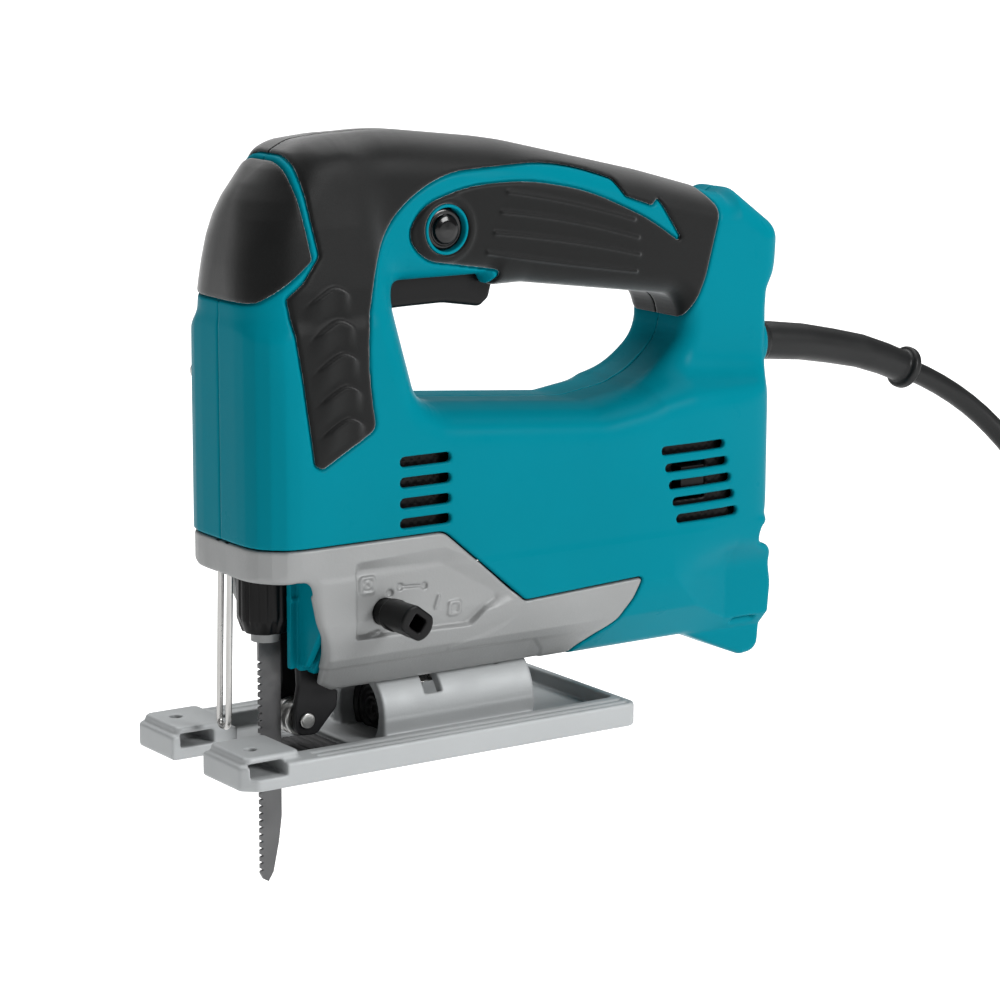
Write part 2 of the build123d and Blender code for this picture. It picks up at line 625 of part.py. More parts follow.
# Drive gear, crank pin and balance weight
gear_x = (-17.0, -11.0)
pitch_radius = gear_module * gear_teeth / 2
with BuildPart() as drive_gear:
    with BuildSketch(Plane.YZ.offset(gear_x[0])):
        with Locations((0, gear_z)):
            Circle(pitch_radius - 0.9)
            with PolarLocations(0, gear_teeth, start_angle=-90 + 180 / gear_teeth):
                Polygon((18.6, -0.66), (20.0, -0.42), (20.56, -0.22), (20.56, 0.22),
                        (20.0, 0.42), (18.6, 0.66), align=None)
    extrude(amount=gear_x[1] - gear_x[0])
    add(rod_along_x(7, -11, -8, z=gear_z))
    add(rod_along_x(4.0 + fit, -30, 0, z=gear_z), mode=Mode.SUBTRACT)
    add(rod_along_x(2.5, -17, -11, z=gear_z + crank), mode=Mode.SUBTRACT)

with BuildPart() as crank_pin:
    add(rod_along_x(3.5, -34.4, -17, z=gear_z + crank))
    add(rod_along_x(2.5, -17, -11, z=gear_z + crank))

with BuildPart() as balance_weight:
    with BuildSketch(Plane.YZ.offset(-20.5)):
        with Locations((0, gear_z)):
            Circle(18.5)
            Circle(5.2, mode=Mode.SUBTRACT)
        with Locations((0, gear_z + 20)):
            Rectangle(50, 42, mode=Mode.SUBTRACT)
    extrude(amount=3.5)

# Cord: hanging stretch, coil laid beside the tool, tail, tie and plug
across = (1, 0)              # plan direction in which the cord reaches its coil
inward = (0, 1)              # from there towards the coil's centre
turns = 7.0
start = guard_route[-1]
guard_way = (Vector(*start) - Vector(*guard_route[-2])).normalized()
laid_z = floor_z + 5
coil_top = laid_z + cord_diameter * turns


def shift(point, direction, reach, z):
    return (point[0] + direction[0] * reach, point[1] + direction[1] * reach, z)


def turned(direction, angle):
    c, s = cos(radians(angle)), sin(radians(angle))
    return (direction[0] * c - direction[1] * s, direction[0] * s + direction[1] * c)


def corner_radii(route):
    """Arcs as large as the two runs at each corner allow."""
    points = [Vector(*p) for p in route]
    radii = []
    for before, here, after in zip(points, points[1:], points[2:]):
        turn = radians((here - before).get_angle(after - here))
        shorter = min((here - before).length, (after - here).length)
        radii.append(0.45 * shorter / tan(turn / 2))
    return radii


# The cord swings to the left, clear of a hose on the dust port, and comes back to the coil
cord_route = [start, tuple(Vector(*start) + 28 * guard_way), (284.5, -11.5, 66.5),
              (298, -28.5, 35), (320, -38, 8.5), (350, -41.5, coil_top),
              (384.5, -41.5, coil_top)]
coil_centre = shift(cord_route[-1], inward, coil_radius, (laid_z + coil_top) / 2)
coil_end = shift(coil_centre, inward, -coil_radius, laid_z)
tail_route = [coil_end, shift(coil_end, across, 30, laid_z)]
tail_route.append(shift(tail_route[-1], turned(across, 16), 32, laid_z))
plug_way = turned(across, -4)
tail_route.append(shift(tail_route[-1], plug_way, 30, floor_z + 9))

tubes = []
for route in (cord_route, tail_route):
    radii = corner_radii(route)
    print("cord radii", [round(r) for r in radii])
    with BuildPart() as tube:
        with BuildLine() as tube_line:
            FilletPolyline(*route, radius=radii)
        with BuildSketch(Plane(origin=route[0], z_dir=tube_line.line % 0)):
            Circle(cord_diameter / 2)
        sweep()
    length = sum(edge.length for edge in tube_line.line.edges())
    section = pi * (cord_diameter / 2) ** 2
    print("tube", round(tube.part.volume), "section x length", round(section * length))
    tubes.append((tube.part, length))

with BuildPart() as power_cord:
    for tube, _ in tubes:
        add(tube)

coiled = turns * hypot(2 * pi * coil_radius, cord_diameter)
print("cord length", round(sum(length for _, length in tubes) + coiled))

with BuildPart() as cord_coil:
    with Locations(coil_centre):
        Cylinder(coil_radius + 4, coil_top - laid_z + cord_diameter)
        Cylinder(coil_radius - 4, 100, mode=Mode.SUBTRACT)

with BuildPart() as cord_tie:
    tie_turn = degrees(atan2(inward[1], inward[0]))
    tie_place = shift(coil_centre, inward, coil_radius, coil_centre[2])
    with Locations(Location(tie_place, (0, 0, tie_turn))):
        Box(10, 6, coil_top - laid_z + 10)
    add(cord_coil.part, mode=Mode.SUBTRACT)

plug_plane = Plane(origin=tail_route[-1], x_dir=(-plug_way[1], plug_way[0], 0),
                   z_dir=(plug_way[0], plug_way[1], 0))
with BuildPart() as plug_body:
    with BuildSketch(plug_plane):
        Circle(5.0)
    with BuildSketch(plug_plane.offset(14)):
        Circle(7.5)
    loft()
    with BuildSketch(plug_plane.offset(14)):
        RectangleRounded(25, 18, 5)
    extrude(amount=28)

with BuildPart() as plug_pins:
    with BuildSketch(plug_plane.offset(42)):
        with GridLocations(12.7, 1, 2, 1):
            Rectangle(1.5, 6.3)
    extrude(amount=17)

pieces = {
    "housing_left": housing_left, "housing_right": housing_right, "grip_left": grip_left,
    "grip_right": grip_right, "nose_cap": nose_cap, "gear_housing": gear_housing,
    "insulation_cover": insulation_cover, "dust_tube": dust_tube, "guard_wire": guard_wire,
    "housing_screws": housing_screws, "slide_bush_lower": slide_bush_lower,
    "slide_bush_upper": slide_bush_upper, "front_bearing": front_bearing,
    "rear_bearing": rear_bearing, "gear_pin": gear_pin, "retainer_pin": retainer_pin,
    "stator_core": stator_core, "stator_windings": stator_windings, "baffle": baffle,
    "brush_holders": brush_holders, "carbon_brushes": carbon_brushes,
    "switch_body": switch_body, "cord_clamp": cord_clamp, "cord_guard": cord_guard,
    "bevel_clamp_plate": bevel_clamp_plate, "bevel_bolt": bevel_bolt,
    "trigger_pin": trigger_pin, "base_plate": base_plate, "slider_rod": slider_rod,
    "yoke": yoke, "blade_holder": blade_holder, "blade": blade, "clamp_sleeve": clamp_sleeve,
    "retainer_fork": retainer_fork, "roller_pin": roller_pin, "roller": roller,
    "trigger": trigger, "lock_button": lock_button, "change_lever": change_lever,
    "lever_cam": lever_cam, "armature_shaft": armature_shaft, "armature_core": armature_core,
    "armature_windings": armature_windings, "commutator": commutator, "fan": fan,
    "drive_gear": drive_gear, "crank_pin": crank_pin, "balance_weight": balance_weight,
    "power_cord": power_cord, "cord_coil": cord_coil, "cord_tie": cord_tie,
    "plug_body": plug_body, "plug_pins": plug_pins,
}
for name, piece in pieces.items():
    piece.part.label = name
    export_step(piece.part, f"parts/{name}.step")
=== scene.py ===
import bpy
import math
import numpy as np
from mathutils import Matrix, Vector


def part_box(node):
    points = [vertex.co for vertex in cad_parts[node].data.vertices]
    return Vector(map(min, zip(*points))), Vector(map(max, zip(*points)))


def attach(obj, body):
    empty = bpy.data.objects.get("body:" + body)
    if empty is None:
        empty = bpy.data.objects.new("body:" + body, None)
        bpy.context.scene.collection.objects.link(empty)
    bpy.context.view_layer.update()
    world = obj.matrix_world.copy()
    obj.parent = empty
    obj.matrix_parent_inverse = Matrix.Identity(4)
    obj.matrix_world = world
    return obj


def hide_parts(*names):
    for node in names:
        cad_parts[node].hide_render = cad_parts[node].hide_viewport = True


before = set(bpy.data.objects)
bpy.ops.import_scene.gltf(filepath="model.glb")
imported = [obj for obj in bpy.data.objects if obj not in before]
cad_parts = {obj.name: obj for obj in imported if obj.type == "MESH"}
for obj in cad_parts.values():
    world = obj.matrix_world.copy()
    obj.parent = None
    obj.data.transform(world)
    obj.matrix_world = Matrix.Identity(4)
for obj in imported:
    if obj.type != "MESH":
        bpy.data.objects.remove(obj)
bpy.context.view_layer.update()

# A corded jigsaw. Shapes are worked out in millimetres in the CAD frame (blade at -X, cord at
# +X, the tool's left side at -Y, the shoe's underside at Z 0) and become metres when their mesh
# is made.
MM = 0.001
FLOOR_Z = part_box("cord_coil")[0].z - 0.001      # the coil lies just over the floor, metres
FLOOR_HALF = 30                                 # metres
VOXEL = 0.7              # cell of the moulded shells, mm

scene = bpy.context.scene


# ---------------------------------------------------------------- camera, floor, light
def aim(obj, place, target):
    obj.location = place
    obj.rotation_mode = "QUATERNION"
    obj.rotation_quaternion = (Vector(target) - Vector(place)).to_track_quat("-Z", "Y")


# The photograph's angle, distance and framing
camera = bpy.data.objects.new("camera", bpy.data.cameras.new("camera"))
scene.collection.objects.link(camera)
camera.data.lens = 122.32
camera.data.sensor_width = 36
camera.data.shift_x = 0.0579
camera.data.shift_y = -0.0168
camera.data.clip_start, camera.data.clip_end = 0.1, 100
camera_target = Vector((0.0224, 0, 0.0858))
azimuth, elevation, distance = math.radians(-33.41), math.radians(11.14), 1.16956
camera_back = Vector((math.sin(azimuth) * math.cos(elevation),
                      -math.cos(azimuth) * math.cos(elevation), math.sin(elevation)))
aim(camera, camera_target + camera_back * distance, camera_target)
scene.camera = camera


def new_light(name, kind, place, target, power):
    obj = bpy.data.objects.new(name, bpy.data.lights.new(name, kind))
    obj.data.energy = power
    scene.collection.objects.link(obj)
    aim(obj, place, target)
    return obj.data


key = new_light("key", "AREA", (0.75, -1.6, 1.0), (0.05, 0, 0.1), 34)
key.shape = "RECTANGLE"
key.size = key.size_y = 0.7
overhead = new_light("overhead", "SUN", (0.3, 0.6, 2), (0, 0, 0), 3.4)
overhead.angle = math.radians(70)

world = bpy.data.worlds.new("studio")
world.use_nodes = True
background = world.node_tree.nodes["Background"]
background.inputs["Color"].default_value = (1, 1, 1, 1)
background.inputs["Strength"].default_value = 0.2
scene.world = world
scene.view_settings.view_transform = "Standard"


# ---------------------------------------------------------------- materials
def new_material(name, color, rough, metal=0.0, shine=0.5, sheen=0.0):
    mat = bpy.data.materials.new(name)
    mat.use_nodes = True
    shader = mat.node_tree.nodes["Principled BSDF"]
    shader.inputs["Base Color"].default_value = (*color, 1)
    shader.inputs["Roughness"].default_value = rough
    shader.inputs["Metallic"].default_value = metal
    shader.inputs["Specular IOR Level"].default_value = shine
    shader.inputs["Sheen Weight"].default_value = sheen
    shader.inputs["Sheen Roughness"].default_value = 0.4
    return mat, mat.node_tree, shader


def noise(tree, scale, detail, rough=0.5):
    place = tree.nodes.new("ShaderNodeTexCoord")
    node = tree.nodes.new("ShaderNodeTexNoise")
    node.inputs["Scale"].default_value = scale
    node.inputs["Detail"].default_value = detail
    node.inputs["Roughness"].default_value = rough
    tree.links.new(place.outputs["Object"], node.inputs["Vector"])
    return node.outputs["Fac"]


def ramp(tree, source, stops):
    """Colours by the source's value; stops are (value, colour)."""
    node = tree.nodes.new("ShaderNodeValToRGB")
    elements = node.color_ramp.elements
    while len(elements) < len(stops):
        elements.new(0.5)
    for element, (at, color) in zip(elements, stops):
        element.position = at
        element.color = (*color, 1)
    tree.links.new(source, node.inputs["Fac"])
    return node.outputs["Color"]


def remap(tree, source, low, high):
    """Stretches the middle of a noise to run from low to high."""
    node = tree.nodes.new("ShaderNodeMapRange")
    node.inputs["From Min"].default_value = 0.3
    node.inputs["From Max"].default_value = 0.7
    node.inputs["To Min"].default_value = low
    node.inputs["To Max"].default_value = high
    tree.links.new(source, node.inputs["Value"])
    return node.outputs["Result"]


def bump(tree, shader, source, depth, before=None):
    """depth is the height of the texture in metres; before is a normal that it adds to."""
    node = tree.nodes.new("ShaderNodeBump")
    node.inputs["Strength"].default_value = 1.0
    node.inputs["Distance"].default_value = depth
    tree.links.new(source, node.inputs["Height"])
    if before:
        tree.links.new(before, node.inputs["Normal"])
    tree.links.new(node.outputs["Normal"], shader.inputs["Normal"])


def soft_edges(tree, radius):
    """The normal of edges that look rounded; the radius is in metres."""
    node = tree.nodes.new("ShaderNodeBevel")
    node.samples = 4
    node.inputs["Radius"].default_value = radius
    return node.outputs["Normal"]


def tint(color, factor):
    return tuple(min(1.0, c * factor) for c in color)


def surface(name, color, rough, metal=0.0, spread=0.04, grain=900.0, depth=0.00003,
            wander=0.06, edge=0.0, shine=0.5, patches=18.0, sheen=0.0):
    """A finish with slow colour drift, roughness patches and a fine grain in the bump."""
    mat, tree, shader = new_material(name, color, rough, metal, shine, sheen)
    slow = noise(tree, patches, 3)
    drift = ramp(tree, slow, [(0.3, tint(color, 1 - spread)), (0.7, tint(color, 1 + spread))])
    tree.links.new(drift, shader.inputs["Base Color"])
    patchy = remap(tree, noise(tree, patches * 4, 4), rough - wander, rough + wander)
    tree.links.new(patchy, shader.inputs["Roughness"])
    before = soft_edges(tree, edge) if edge else None
    bump(tree, shader, noise(tree, grain, 3, 0.6), depth, before)
    return mat


TEAL = (0.0, 0.151, 0.198)
teal = surface("teal_plastic", TEAL, 0.33, spread=0.03, grain=1500, depth=0.000012, shine=0.02)
teal_hard = surface("teal_trim", TEAL, 0.36, spread=0.03, grain=1500, depth=0.000012, shine=0.02)
rubber = surface("grip_rubber", (0.003, 0.0032, 0.0032), 0.42, shine=0.08, spread=0.1, grain=2600,
                 depth=0.00006, wander=0.05, sheen=0.6)
black = surface("black_plastic", (0.003, 0.003, 0.0032), 0.34, shine=0.14, spread=0.1, grain=1200,
                depth=0.00002, edge=0.0005)
gloss = surface("gloss_black", (0.002, 0.002, 0.0022), 0.16, shine=0.3, spread=0.1, grain=900,
                depth=0.00001)
cast = surface("cast_aluminium", (0.215, 0.22, 0.22), 0.5, metal=0.25, spread=0.06, grain=1100,
               depth=0.00007, wander=0.08, patches=30)
plate = surface("shoe_aluminium", (0.325, 0.337, 0.342), 0.56, metal=0.25, shine=0.3,
                spread=0.05, grain=900, depth=0.00004, wander=0.08, edge=0.0006)
steel = surface("plated_steel", (0.4, 0.395, 0.385), 0.3, metal=0.95, spread=0.06, grain=700,
                depth=0.00001, edge=0.0003)
dark_steel = surface("dark_steel", (0.014, 0.014, 0.015), 0.42, metal=0.3, shine=0.2,
                     spread=0.1, grain=900, depth=0.00002, edge=0.0004)
blade_steel = surface("blade_steel", (0.105, 0.105, 0.107), 0.42, metal=0.7, spread=0.12, grain=500,
                      depth=0.00003, wander=0.1, patches=60)
roller_steel = surface("roller_steel", (0.42, 0.42, 0.41), 0.3, metal=0.9, spread=0.08, grain=700,
                       depth=0.00001)
bronze = surface("bronze", (0.45, 0.3, 0.14), 0.4, metal=0.9, spread=0.1)
copper = surface("winding_copper", (0.5, 0.2, 0.09), 0.35, metal=0.9, spread=0.15, grain=400,
                 depth=0.0001)
laminate = surface("core_laminate", (0.2, 0.2, 0.2), 0.5, metal=0.7, spread=0.1)
carbon = surface("carbon", (0.03, 0.03, 0.03), 0.6)
sheath = surface("cord_sheath", (0.007, 0.0073, 0.0075), 0.42, shine=0.2, spread=0.1, grain=1400,
                 depth=0.00002)
tie_strap = surface("tie_strap", (0.03, 0.03, 0.03), 0.7, grain=2500, depth=0.00008)

# The finish of every CAD node, which shows on those that no piece below replaces
finishes = {
    teal_hard: ["insulation_cover"],
    rubber: ["grip_left", "grip_right", "nose_cap"],
    black: ["dust_tube", "baffle", "brush_holders", "switch_body", "cord_clamp", "trigger",
            "lock_button", "change_lever", "clamp_sleeve", "fan", "plug_body"],
    cast: ["gear_housing", "blade_holder"],
    plate: ["base_plate"],
    steel: ["guard_wire", "housing_screws", "front_bearing", "rear_bearing", "gear_pin",
            "retainer_pin", "roller_pin", "slider_rod", "bevel_bolt", "bevel_clamp_plate",
            "trigger_pin", "plug_pins", "armature_shaft", "crank_pin"],
    dark_steel: ["yoke", "retainer_fork", "roller", "lever_cam", "drive_gear",
                 "balance_weight"],
    blade_steel: ["blade"],
    bronze: ["slide_bush_lower", "slide_bush_upper"],
    copper: ["stator_windings", "armature_windings", "commutator"],
    laminate: ["stator_core", "armature_core"],
    carbon: ["carbon_brushes"],
    sheath: ["cord_guard", "power_cord", "cord_coil"],
    tie_strap: ["cord_tie"],
    teal: ["housing_left", "housing_right"],
}
for material, names in finishes.items():
    for node_name in names:
        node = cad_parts[node_name]
        if not node.material_slots:
            node.data.materials.append(material)
        for node_slot in node.material_slots:
            node_slot.link = "OBJECT"
            node_slot.material = material


# ---------------------------------------------------------------- power cord
CORD_DIAMETER = 0.008   # metres; the other lengths are millimetres
GUARD_ROUTE = [(150, 0, 124.6), (180, 0, 122.2), (208, 0, 116.8), (232, 0, 107.1)]
TURNS = 7
COIL_RADIUS = 48.0
PITCH = 8.0
POINTS_A_TURN = 16
STRAIGHT = 28           # the run straight out of the guard
LAID_HEIGHT = 5         # the cord's middle over the floor


def swing(point, reach, angle, z):
    """The point that lies reach away from another, at an angle from +X in plan."""
    c, s = math.cos(math.radians(angle)), math.sin(math.radians(angle))
    return (point[0] + reach * c, point[1] + reach * s, z)


floor_mm = FLOOR_Z / MM
laid_z = floor_mm + LAID_HEIGHT
coil_top = laid_z + PITCH * TURNS
exit_point = GUARD_ROUTE[-1]
guard_way = (Vector(exit_point) - Vector(GUARD_ROUTE[-2])).normalized()
route = [exit_point, tuple(Vector(exit_point) + STRAIGHT * guard_way), (284.5, -11.5, 66.5),
         (298, -28.5, 35), (320, -38, 8.5), (350, -41.5, coil_top), (384.5, -41.5, coil_top)]
coil_x, coil_y = route[-1][0], route[-1][1] + COIL_RADIUS
# A NURBS curve cuts inside its polygon: the polygon stands out by this much
polygon_radius = COIL_RADIUS / (0.5 * (1 + math.cos(2 * math.pi / POINTS_A_TURN)))
for i in range(1, TURNS * POINTS_A_TURN):
    angle = 2 * math.pi * i / POINTS_A_TURN - math.pi / 2
    route.append((coil_x + polygon_radius * math.cos(angle),
                  coil_y + polygon_radius * math.sin(angle), coil_top - PITCH * i / POINTS_A_TURN))
# From the coil's last turn to the plug
tail = [(coil_x, coil_y - COIL_RADIUS, laid_z)]
tail.append(swing(tail[-1], 30, 0, laid_z))
tail.append(swing(tail[-1], 32, 16, laid_z))
tail.append(swing(tail[-1], 30, -4, floor_mm + 9))
route += tail

cord_curve = bpy.data.curves.new("cord", "CURVE")
cord_curve.dimensions = "3D"
cord_curve.bevel_depth = CORD_DIAMETER / 2
cord_curve.bevel_resolution = 5
cord_curve.use_fill_caps = True
spline = cord_curve.splines.new("NURBS")
spline.points.add(len(route) - 1)
for spline_point, place in zip(spline.points, route):
    spline_point.co = (*(c * MM for c in place), 1)
spline.order_u = 3
spline.use_endpoint_u = True
spline.resolution_u = 6
cord_curve.materials.append(sheath)
cord = bpy.data.objects.new("power_cord_sheath", cord_curve)
scene.collection.objects.link(cord)
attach(cord, "tool_body")
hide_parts("power_cord", "cord_coil")

floor_mesh = bpy.data.meshes.new("floor")
corners = [(x * FLOOR_HALF, y * FLOOR_HALF, FLOOR_Z)
           for x, y in ((-1, -1), (1, -1), (1, 1), (-1, 1))]
floor_mesh.from_pydata(corners, [], [(0, 1, 2, 3)])
floor = bpy.data.objects.new("floor", floor_mesh)
scene.collection.objects.link(floor)
floor_paint, _, floor_shader = new_material("floor_paint", (0.8, 0.8, 0.8), 0.85, shine=0.0)
floor_shader.inputs["Emission Color"].default_value = (1, 1, 1, 1)
floor_shader.inputs["Emission Strength"].default_value = 0.42
floor_mesh.materials.append(floor_paint)


# ---------------------------------------------------------------- shapes as distance fields
class Grid:
    """A box of cells in millimetres; x, y and z broadcast against each other."""

    def __init__(self, low, high, cell):
        self.cell = cell
        self.start = np.array(low, float) - 2 * cell
        counts = [int((b - a) / cell) + 5 for a, b in zip(low, high)]
        x, y, z = (np.float32(s + cell * np.arange(n)) for s, n in zip(self.start, counts))
        self.x, self.y, self.z = x[:, None, None], y[None, :, None], z[None, None, :]


def rounded_corners(corners, steps=7):
    """The points of a closed outline given as ((u, v), corner radius)."""
    places = [np.array(place, float) for place, _ in corners]
    points = []
    for i, (_, radius) in enumerate(corners):
        here = places[i]
        if not radius:
            points.append(here)
            continue
        back = places[i - 1] - here
        ahead = places[(i + 1) % len(places)] - here
        back, ahead = back / np.linalg.norm(back), ahead / np.linalg.norm(ahead)
        half = math.acos(np.clip(back @ ahead, -1, 1)) / 2
        middle = (back + ahead) / np.linalg.norm(back + ahead)
        centre = here + middle * radius / math.sin(half)
        first = here + back * radius / math.tan(half) - centre
        last = here + ahead * radius / math.tan(half) - centre
        begin = math.atan2(first[1], first[0])
        turn = (math.atan2(last[1], last[0]) - begin + math.pi) % (2 * math.pi) - math.pi
        for angle in begin + turn * np.linspace(0, 1, steps):
            points.append(centre + radius * np.array((math.cos(angle), math.sin(angle))))
    return points


def line_distance(points, u, v, radius=0.0):
    """Distance from an open line of points in a plane, less a radius."""
    near = np.float32(1e9)
    for (au, av), (bu, bv) in zip(points, points[1:]):
        du, dv = bu - au, bv - av
        along = np.clip(((u - au) * du + (v - av) * dv) / (du * du + dv * dv), 0, 1)
        near = np.minimum(near, (u - au - along * du) ** 2 + (v - av - along * dv) ** 2)
    return np.sqrt(near) - radius


def outline_distance(corners, u, v):
    """Signed distance from a closed outline in a plane, negative inside."""
    points = rounded_corners(corners)
    points.append(points[0])
    odd = np.zeros(np.broadcast_shapes(u.shape, v.shape), bool)
    for (au, av), (bu, bv) in zip(points, points[1:]):
        lean = (bu - au) / ((bv - av) or 1e-9)
        odd ^= ((av > v) != (bv > v)) & (u < au + (v - av) * lean)
    return np.where(odd, -1, 1) * line_distance(points, u, v)


def join(a, b, blend=0.8):
    """Union with a fillet."""
    near = np.maximum(blend - np.abs(a - b), 0) / blend
    return np.minimum(a, b) - near * near * blend / 4


def meet(a, b, blend=0.8):
    """What two shapes share, with a rounded edge."""
    return -join(-a, -b, blend)


def cut(a, b, blend=0.8):
    """Takes the second shape from the first, with a rounded edge."""
    return meet(a, -b, blend)


def extruded(outline, across, radius):
    """Crosses a distance in a plane with one square to it, with rounded edges."""
    a, b = outline + radius, across + radius
    return np.hypot(np.maximum(a, 0), np.maximum(b, 0)) + np.minimum(np.maximum(a, b), 0) - radius


def between(axis, low, high):
    """Distance from a slab across an axis."""
    return np.abs(axis - (low + high) / 2) - (high - low) / 2


def block(g, x, y, z, radius=0.6):
    """A box with rounded edges; x, y and z are (low, high)."""
    flat = extruded(between(g.x, *x), between(g.z, *z), radius)
    return extruded(flat, between(g.y, *y), radius)


def rod(g, way, radius, low, high, centre, edge=0.5):
    """A cylinder along an axis; centre holds its two other coordinates."""
    axes = {"x": (g.x, g.y, g.z), "y": (g.y, g.x, g.z), "z": (g.z, g.x, g.y)}[way]
    round_way = np.hypot(axes[1] - centre[0], axes[2] - centre[1]) - radius
    return extruded(round_way, between(axes[0], low, high), edge)


def step(value, low, high):
    """Rises smoothly from 0 at low to 1 at high."""
    t = np.clip((value - low) / (high - low), 0, 1)
    return t * t * (3 - 2 * t)


def profile(axis, places, values):
    """A value that changes along an axis."""
    return np.interp(axis, places, values).astype(np.float32)


# ---------------------------------------------------------------- meshes from fields
def sample(field, at):
    """The field between its grid points; at counts in cells."""
    at = np.clip(at, 0, np.array(field.shape) - 1.001)
    base = at.astype(int)
    t = at - base
    value = 0
    for i in (0, 1):
        for j in (0, 1):
            for k in (0, 1):
                weight = (np.abs(1 - i - t[:, 0]) * np.abs(1 - j - t[:, 1]) * np.abs(1 - k - t[:, 2]))
                value = value + weight * field[base[:, 0] + i, base[:, 1] + j, base[:, 2] + k]
    return value


def slope(field, at, reach=0.5):
    """The field's gradient, with at and reach in cells."""
    steps = np.eye(3) * reach
    return np.stack([(sample(field, at + s) - sample(field, at - s)) / (2 * reach) for s in steps], 1)


def surface_net(field):
    """A closed mesh of quads on the zero level, with one vertex in each cell it crosses."""
    inside = field < 0
    shape = tuple(n - 1 for n in field.shape)
    filled = np.zeros(shape, np.int8)
    for i in (0, 1):
        for j in (0, 1):
            for k in (0, 1):
                filled += inside[i:i + shape[0], j:j + shape[1], k:k + shape[2]]
    cells = np.argwhere((filled > 0) & (filled < 8))
    number = np.full(shape, -1, np.int32)
    number[tuple(cells.T)] = np.arange(len(cells))
    total, hits = np.zeros((len(cells), 3)), np.zeros(len(cells))
    for way in range(3):
        along = np.eye(3, dtype=int)[way]
        sides = [np.eye(3, dtype=int)[other] for other in range(3) if other != way]
        for i in (0, 1):
            for j in (0, 1):
                low = cells + i * sides[0] + j * sides[1]
                a, b = field[tuple(low.T)], field[tuple((low + along).T)]
                crossed = (a < 0) != (b < 0)
                t = np.where(crossed, a, 0) / np.where(crossed, a - b, 1)
                total += (low + t[:, None] * along) * crossed[:, None]
                hits += crossed
    points = total / hits[:, None]
    quads = []
    for way in range(3):
        u, v = (np.eye(3, dtype=int)[(way + n) % 3] for n in (1, 2))
        before = [slice(None)] * 3
        after = [slice(None)] * 3
        before[way], after[way] = slice(None, -1), slice(1, None)
        low = inside[tuple(before)]
        edges = np.argwhere(low != inside[tuple(after)])
        ring = [number[tuple((edges + shift).T)] for shift in (-u - v, -v, 0 * u, -u)]
        ring = np.stack(ring, 1)
        back = ~low[tuple(edges.T)]
        ring[back] = ring[back][:, ::-1]
        quads.append(ring)
    quads = np.concatenate(quads)
    # Even the vertices out along the surface, then draw them back onto it
    ends = np.concatenate([quads[:, [0, 1]], quads[:, [1, 2]], quads[:, [2, 3]], quads[:, [3, 0]]])
    ends = np.concatenate([ends, ends[:, ::-1]])
    count = np.bincount(ends[:, 0], minlength=len(points))
    for _ in range(2):
        mean = np.stack([np.bincount(ends[:, 0], points[ends[:, 1], n], len(points)) / count
                         for n in range(3)], 1)
        points = points + 0.5 * (mean - points)
        for _ in range(2):
            away = slope(field, points)
            steep = (away ** 2).sum(1)
            steep = np.maximum(steep, 0.1 * np.median(steep))
            move = (sample(field, points) / steep)[:, None] * away
            length = np.linalg.norm(move, axis=1)[:, None]
            points = points - move * np.minimum(1, 0.6 / np.maximum(length, 1e-9))
    return points, quads


def piece(name, field, grid, material, nodes, body="tool_body"):
    """Makes the mesh of a field on one body, and lets it stand for that body's nodes, if any."""
    points, quads = surface_net(field)
    mesh = bpy.data.meshes.new(name)
    mesh.from_pydata(((grid.start + points * grid.cell) * MM).tolist(), [], quads.tolist())
    mesh.materials.append(material)
    mesh.shade_smooth()
    obj = bpy.data.objects.new(name, mesh)
    scene.collection.objects.link(obj)
    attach(obj, body)
    if nodes:
        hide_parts(*nodes)


# ---------------------------------------------------------------- moulded body
# Outlines seen from the side, as ((x, z), corner radius)
HANDLE = [((-60, 100), 0), ((-60, 203), 17), ((-10, 209.5), 120), ((40, 203.5), 120),
          ((100, 189.5), 120), ((134, 179.8), 1.5), ((138.5, 182.4), 3), ((158, 167), 8),
          ((152.8, 139), 12), ((153.2, 100), 0)]
BODY = [((-66, 64), 1.5), ((-66.5, 165), 60), ((-52, 204), 17), ((-22, 206), 10),
        ((-12, 150), 30), ((-3, 117), 12), ((72, 110), 25), ((110, 116), 20),
        ((150, 112), 10), ((153.2, 84), 40), ((149, 65), 20), ((139.5, 57), 4),
        ((152, 52), 8), ((154, 38), 20), ((151.8, 12), 5), ((144, 11), 5),
        ((124, 19.5), 6), ((118, 22.3), 8), ((-31, 22), 4), ((-37.5, 25.5), 3),
        ((-40, 38), 20), ((-45, 50), 8), ((-48, 64), 3)]
FINGER_HOLE = [((-11.5, 159.4), 6), ((-2.5, 115.5), 16), ((72, 109), 25), ((97, 112.5), 25),
               ((115.5, 133), 14), ((112, 146.5), 9), ((46, 155.8), 20), ((36, 155.7), 2),
               ((31.5, 155.8), 1.2), ((29.5, 159.2), 1.2)]
CASTING = [((-80, 10), 0), ((-80, 76), 0), ((4, 76), 7), ((37, 48.2), 3), ((86.5, 50.4), 1),
           ((84, 42.5), 10), ((79, 34), 10), ((67, 24.8), 6), ((60, 10), 0)]
CAP = [((-80, 156.5), 0), ((-62, 156.5), 6), ((-50, 165), 4), ((-43.6, 170), 2),
       ((-45.5, 182), 30), ((-49.5, 214), 0), ((-80, 214), 0)]
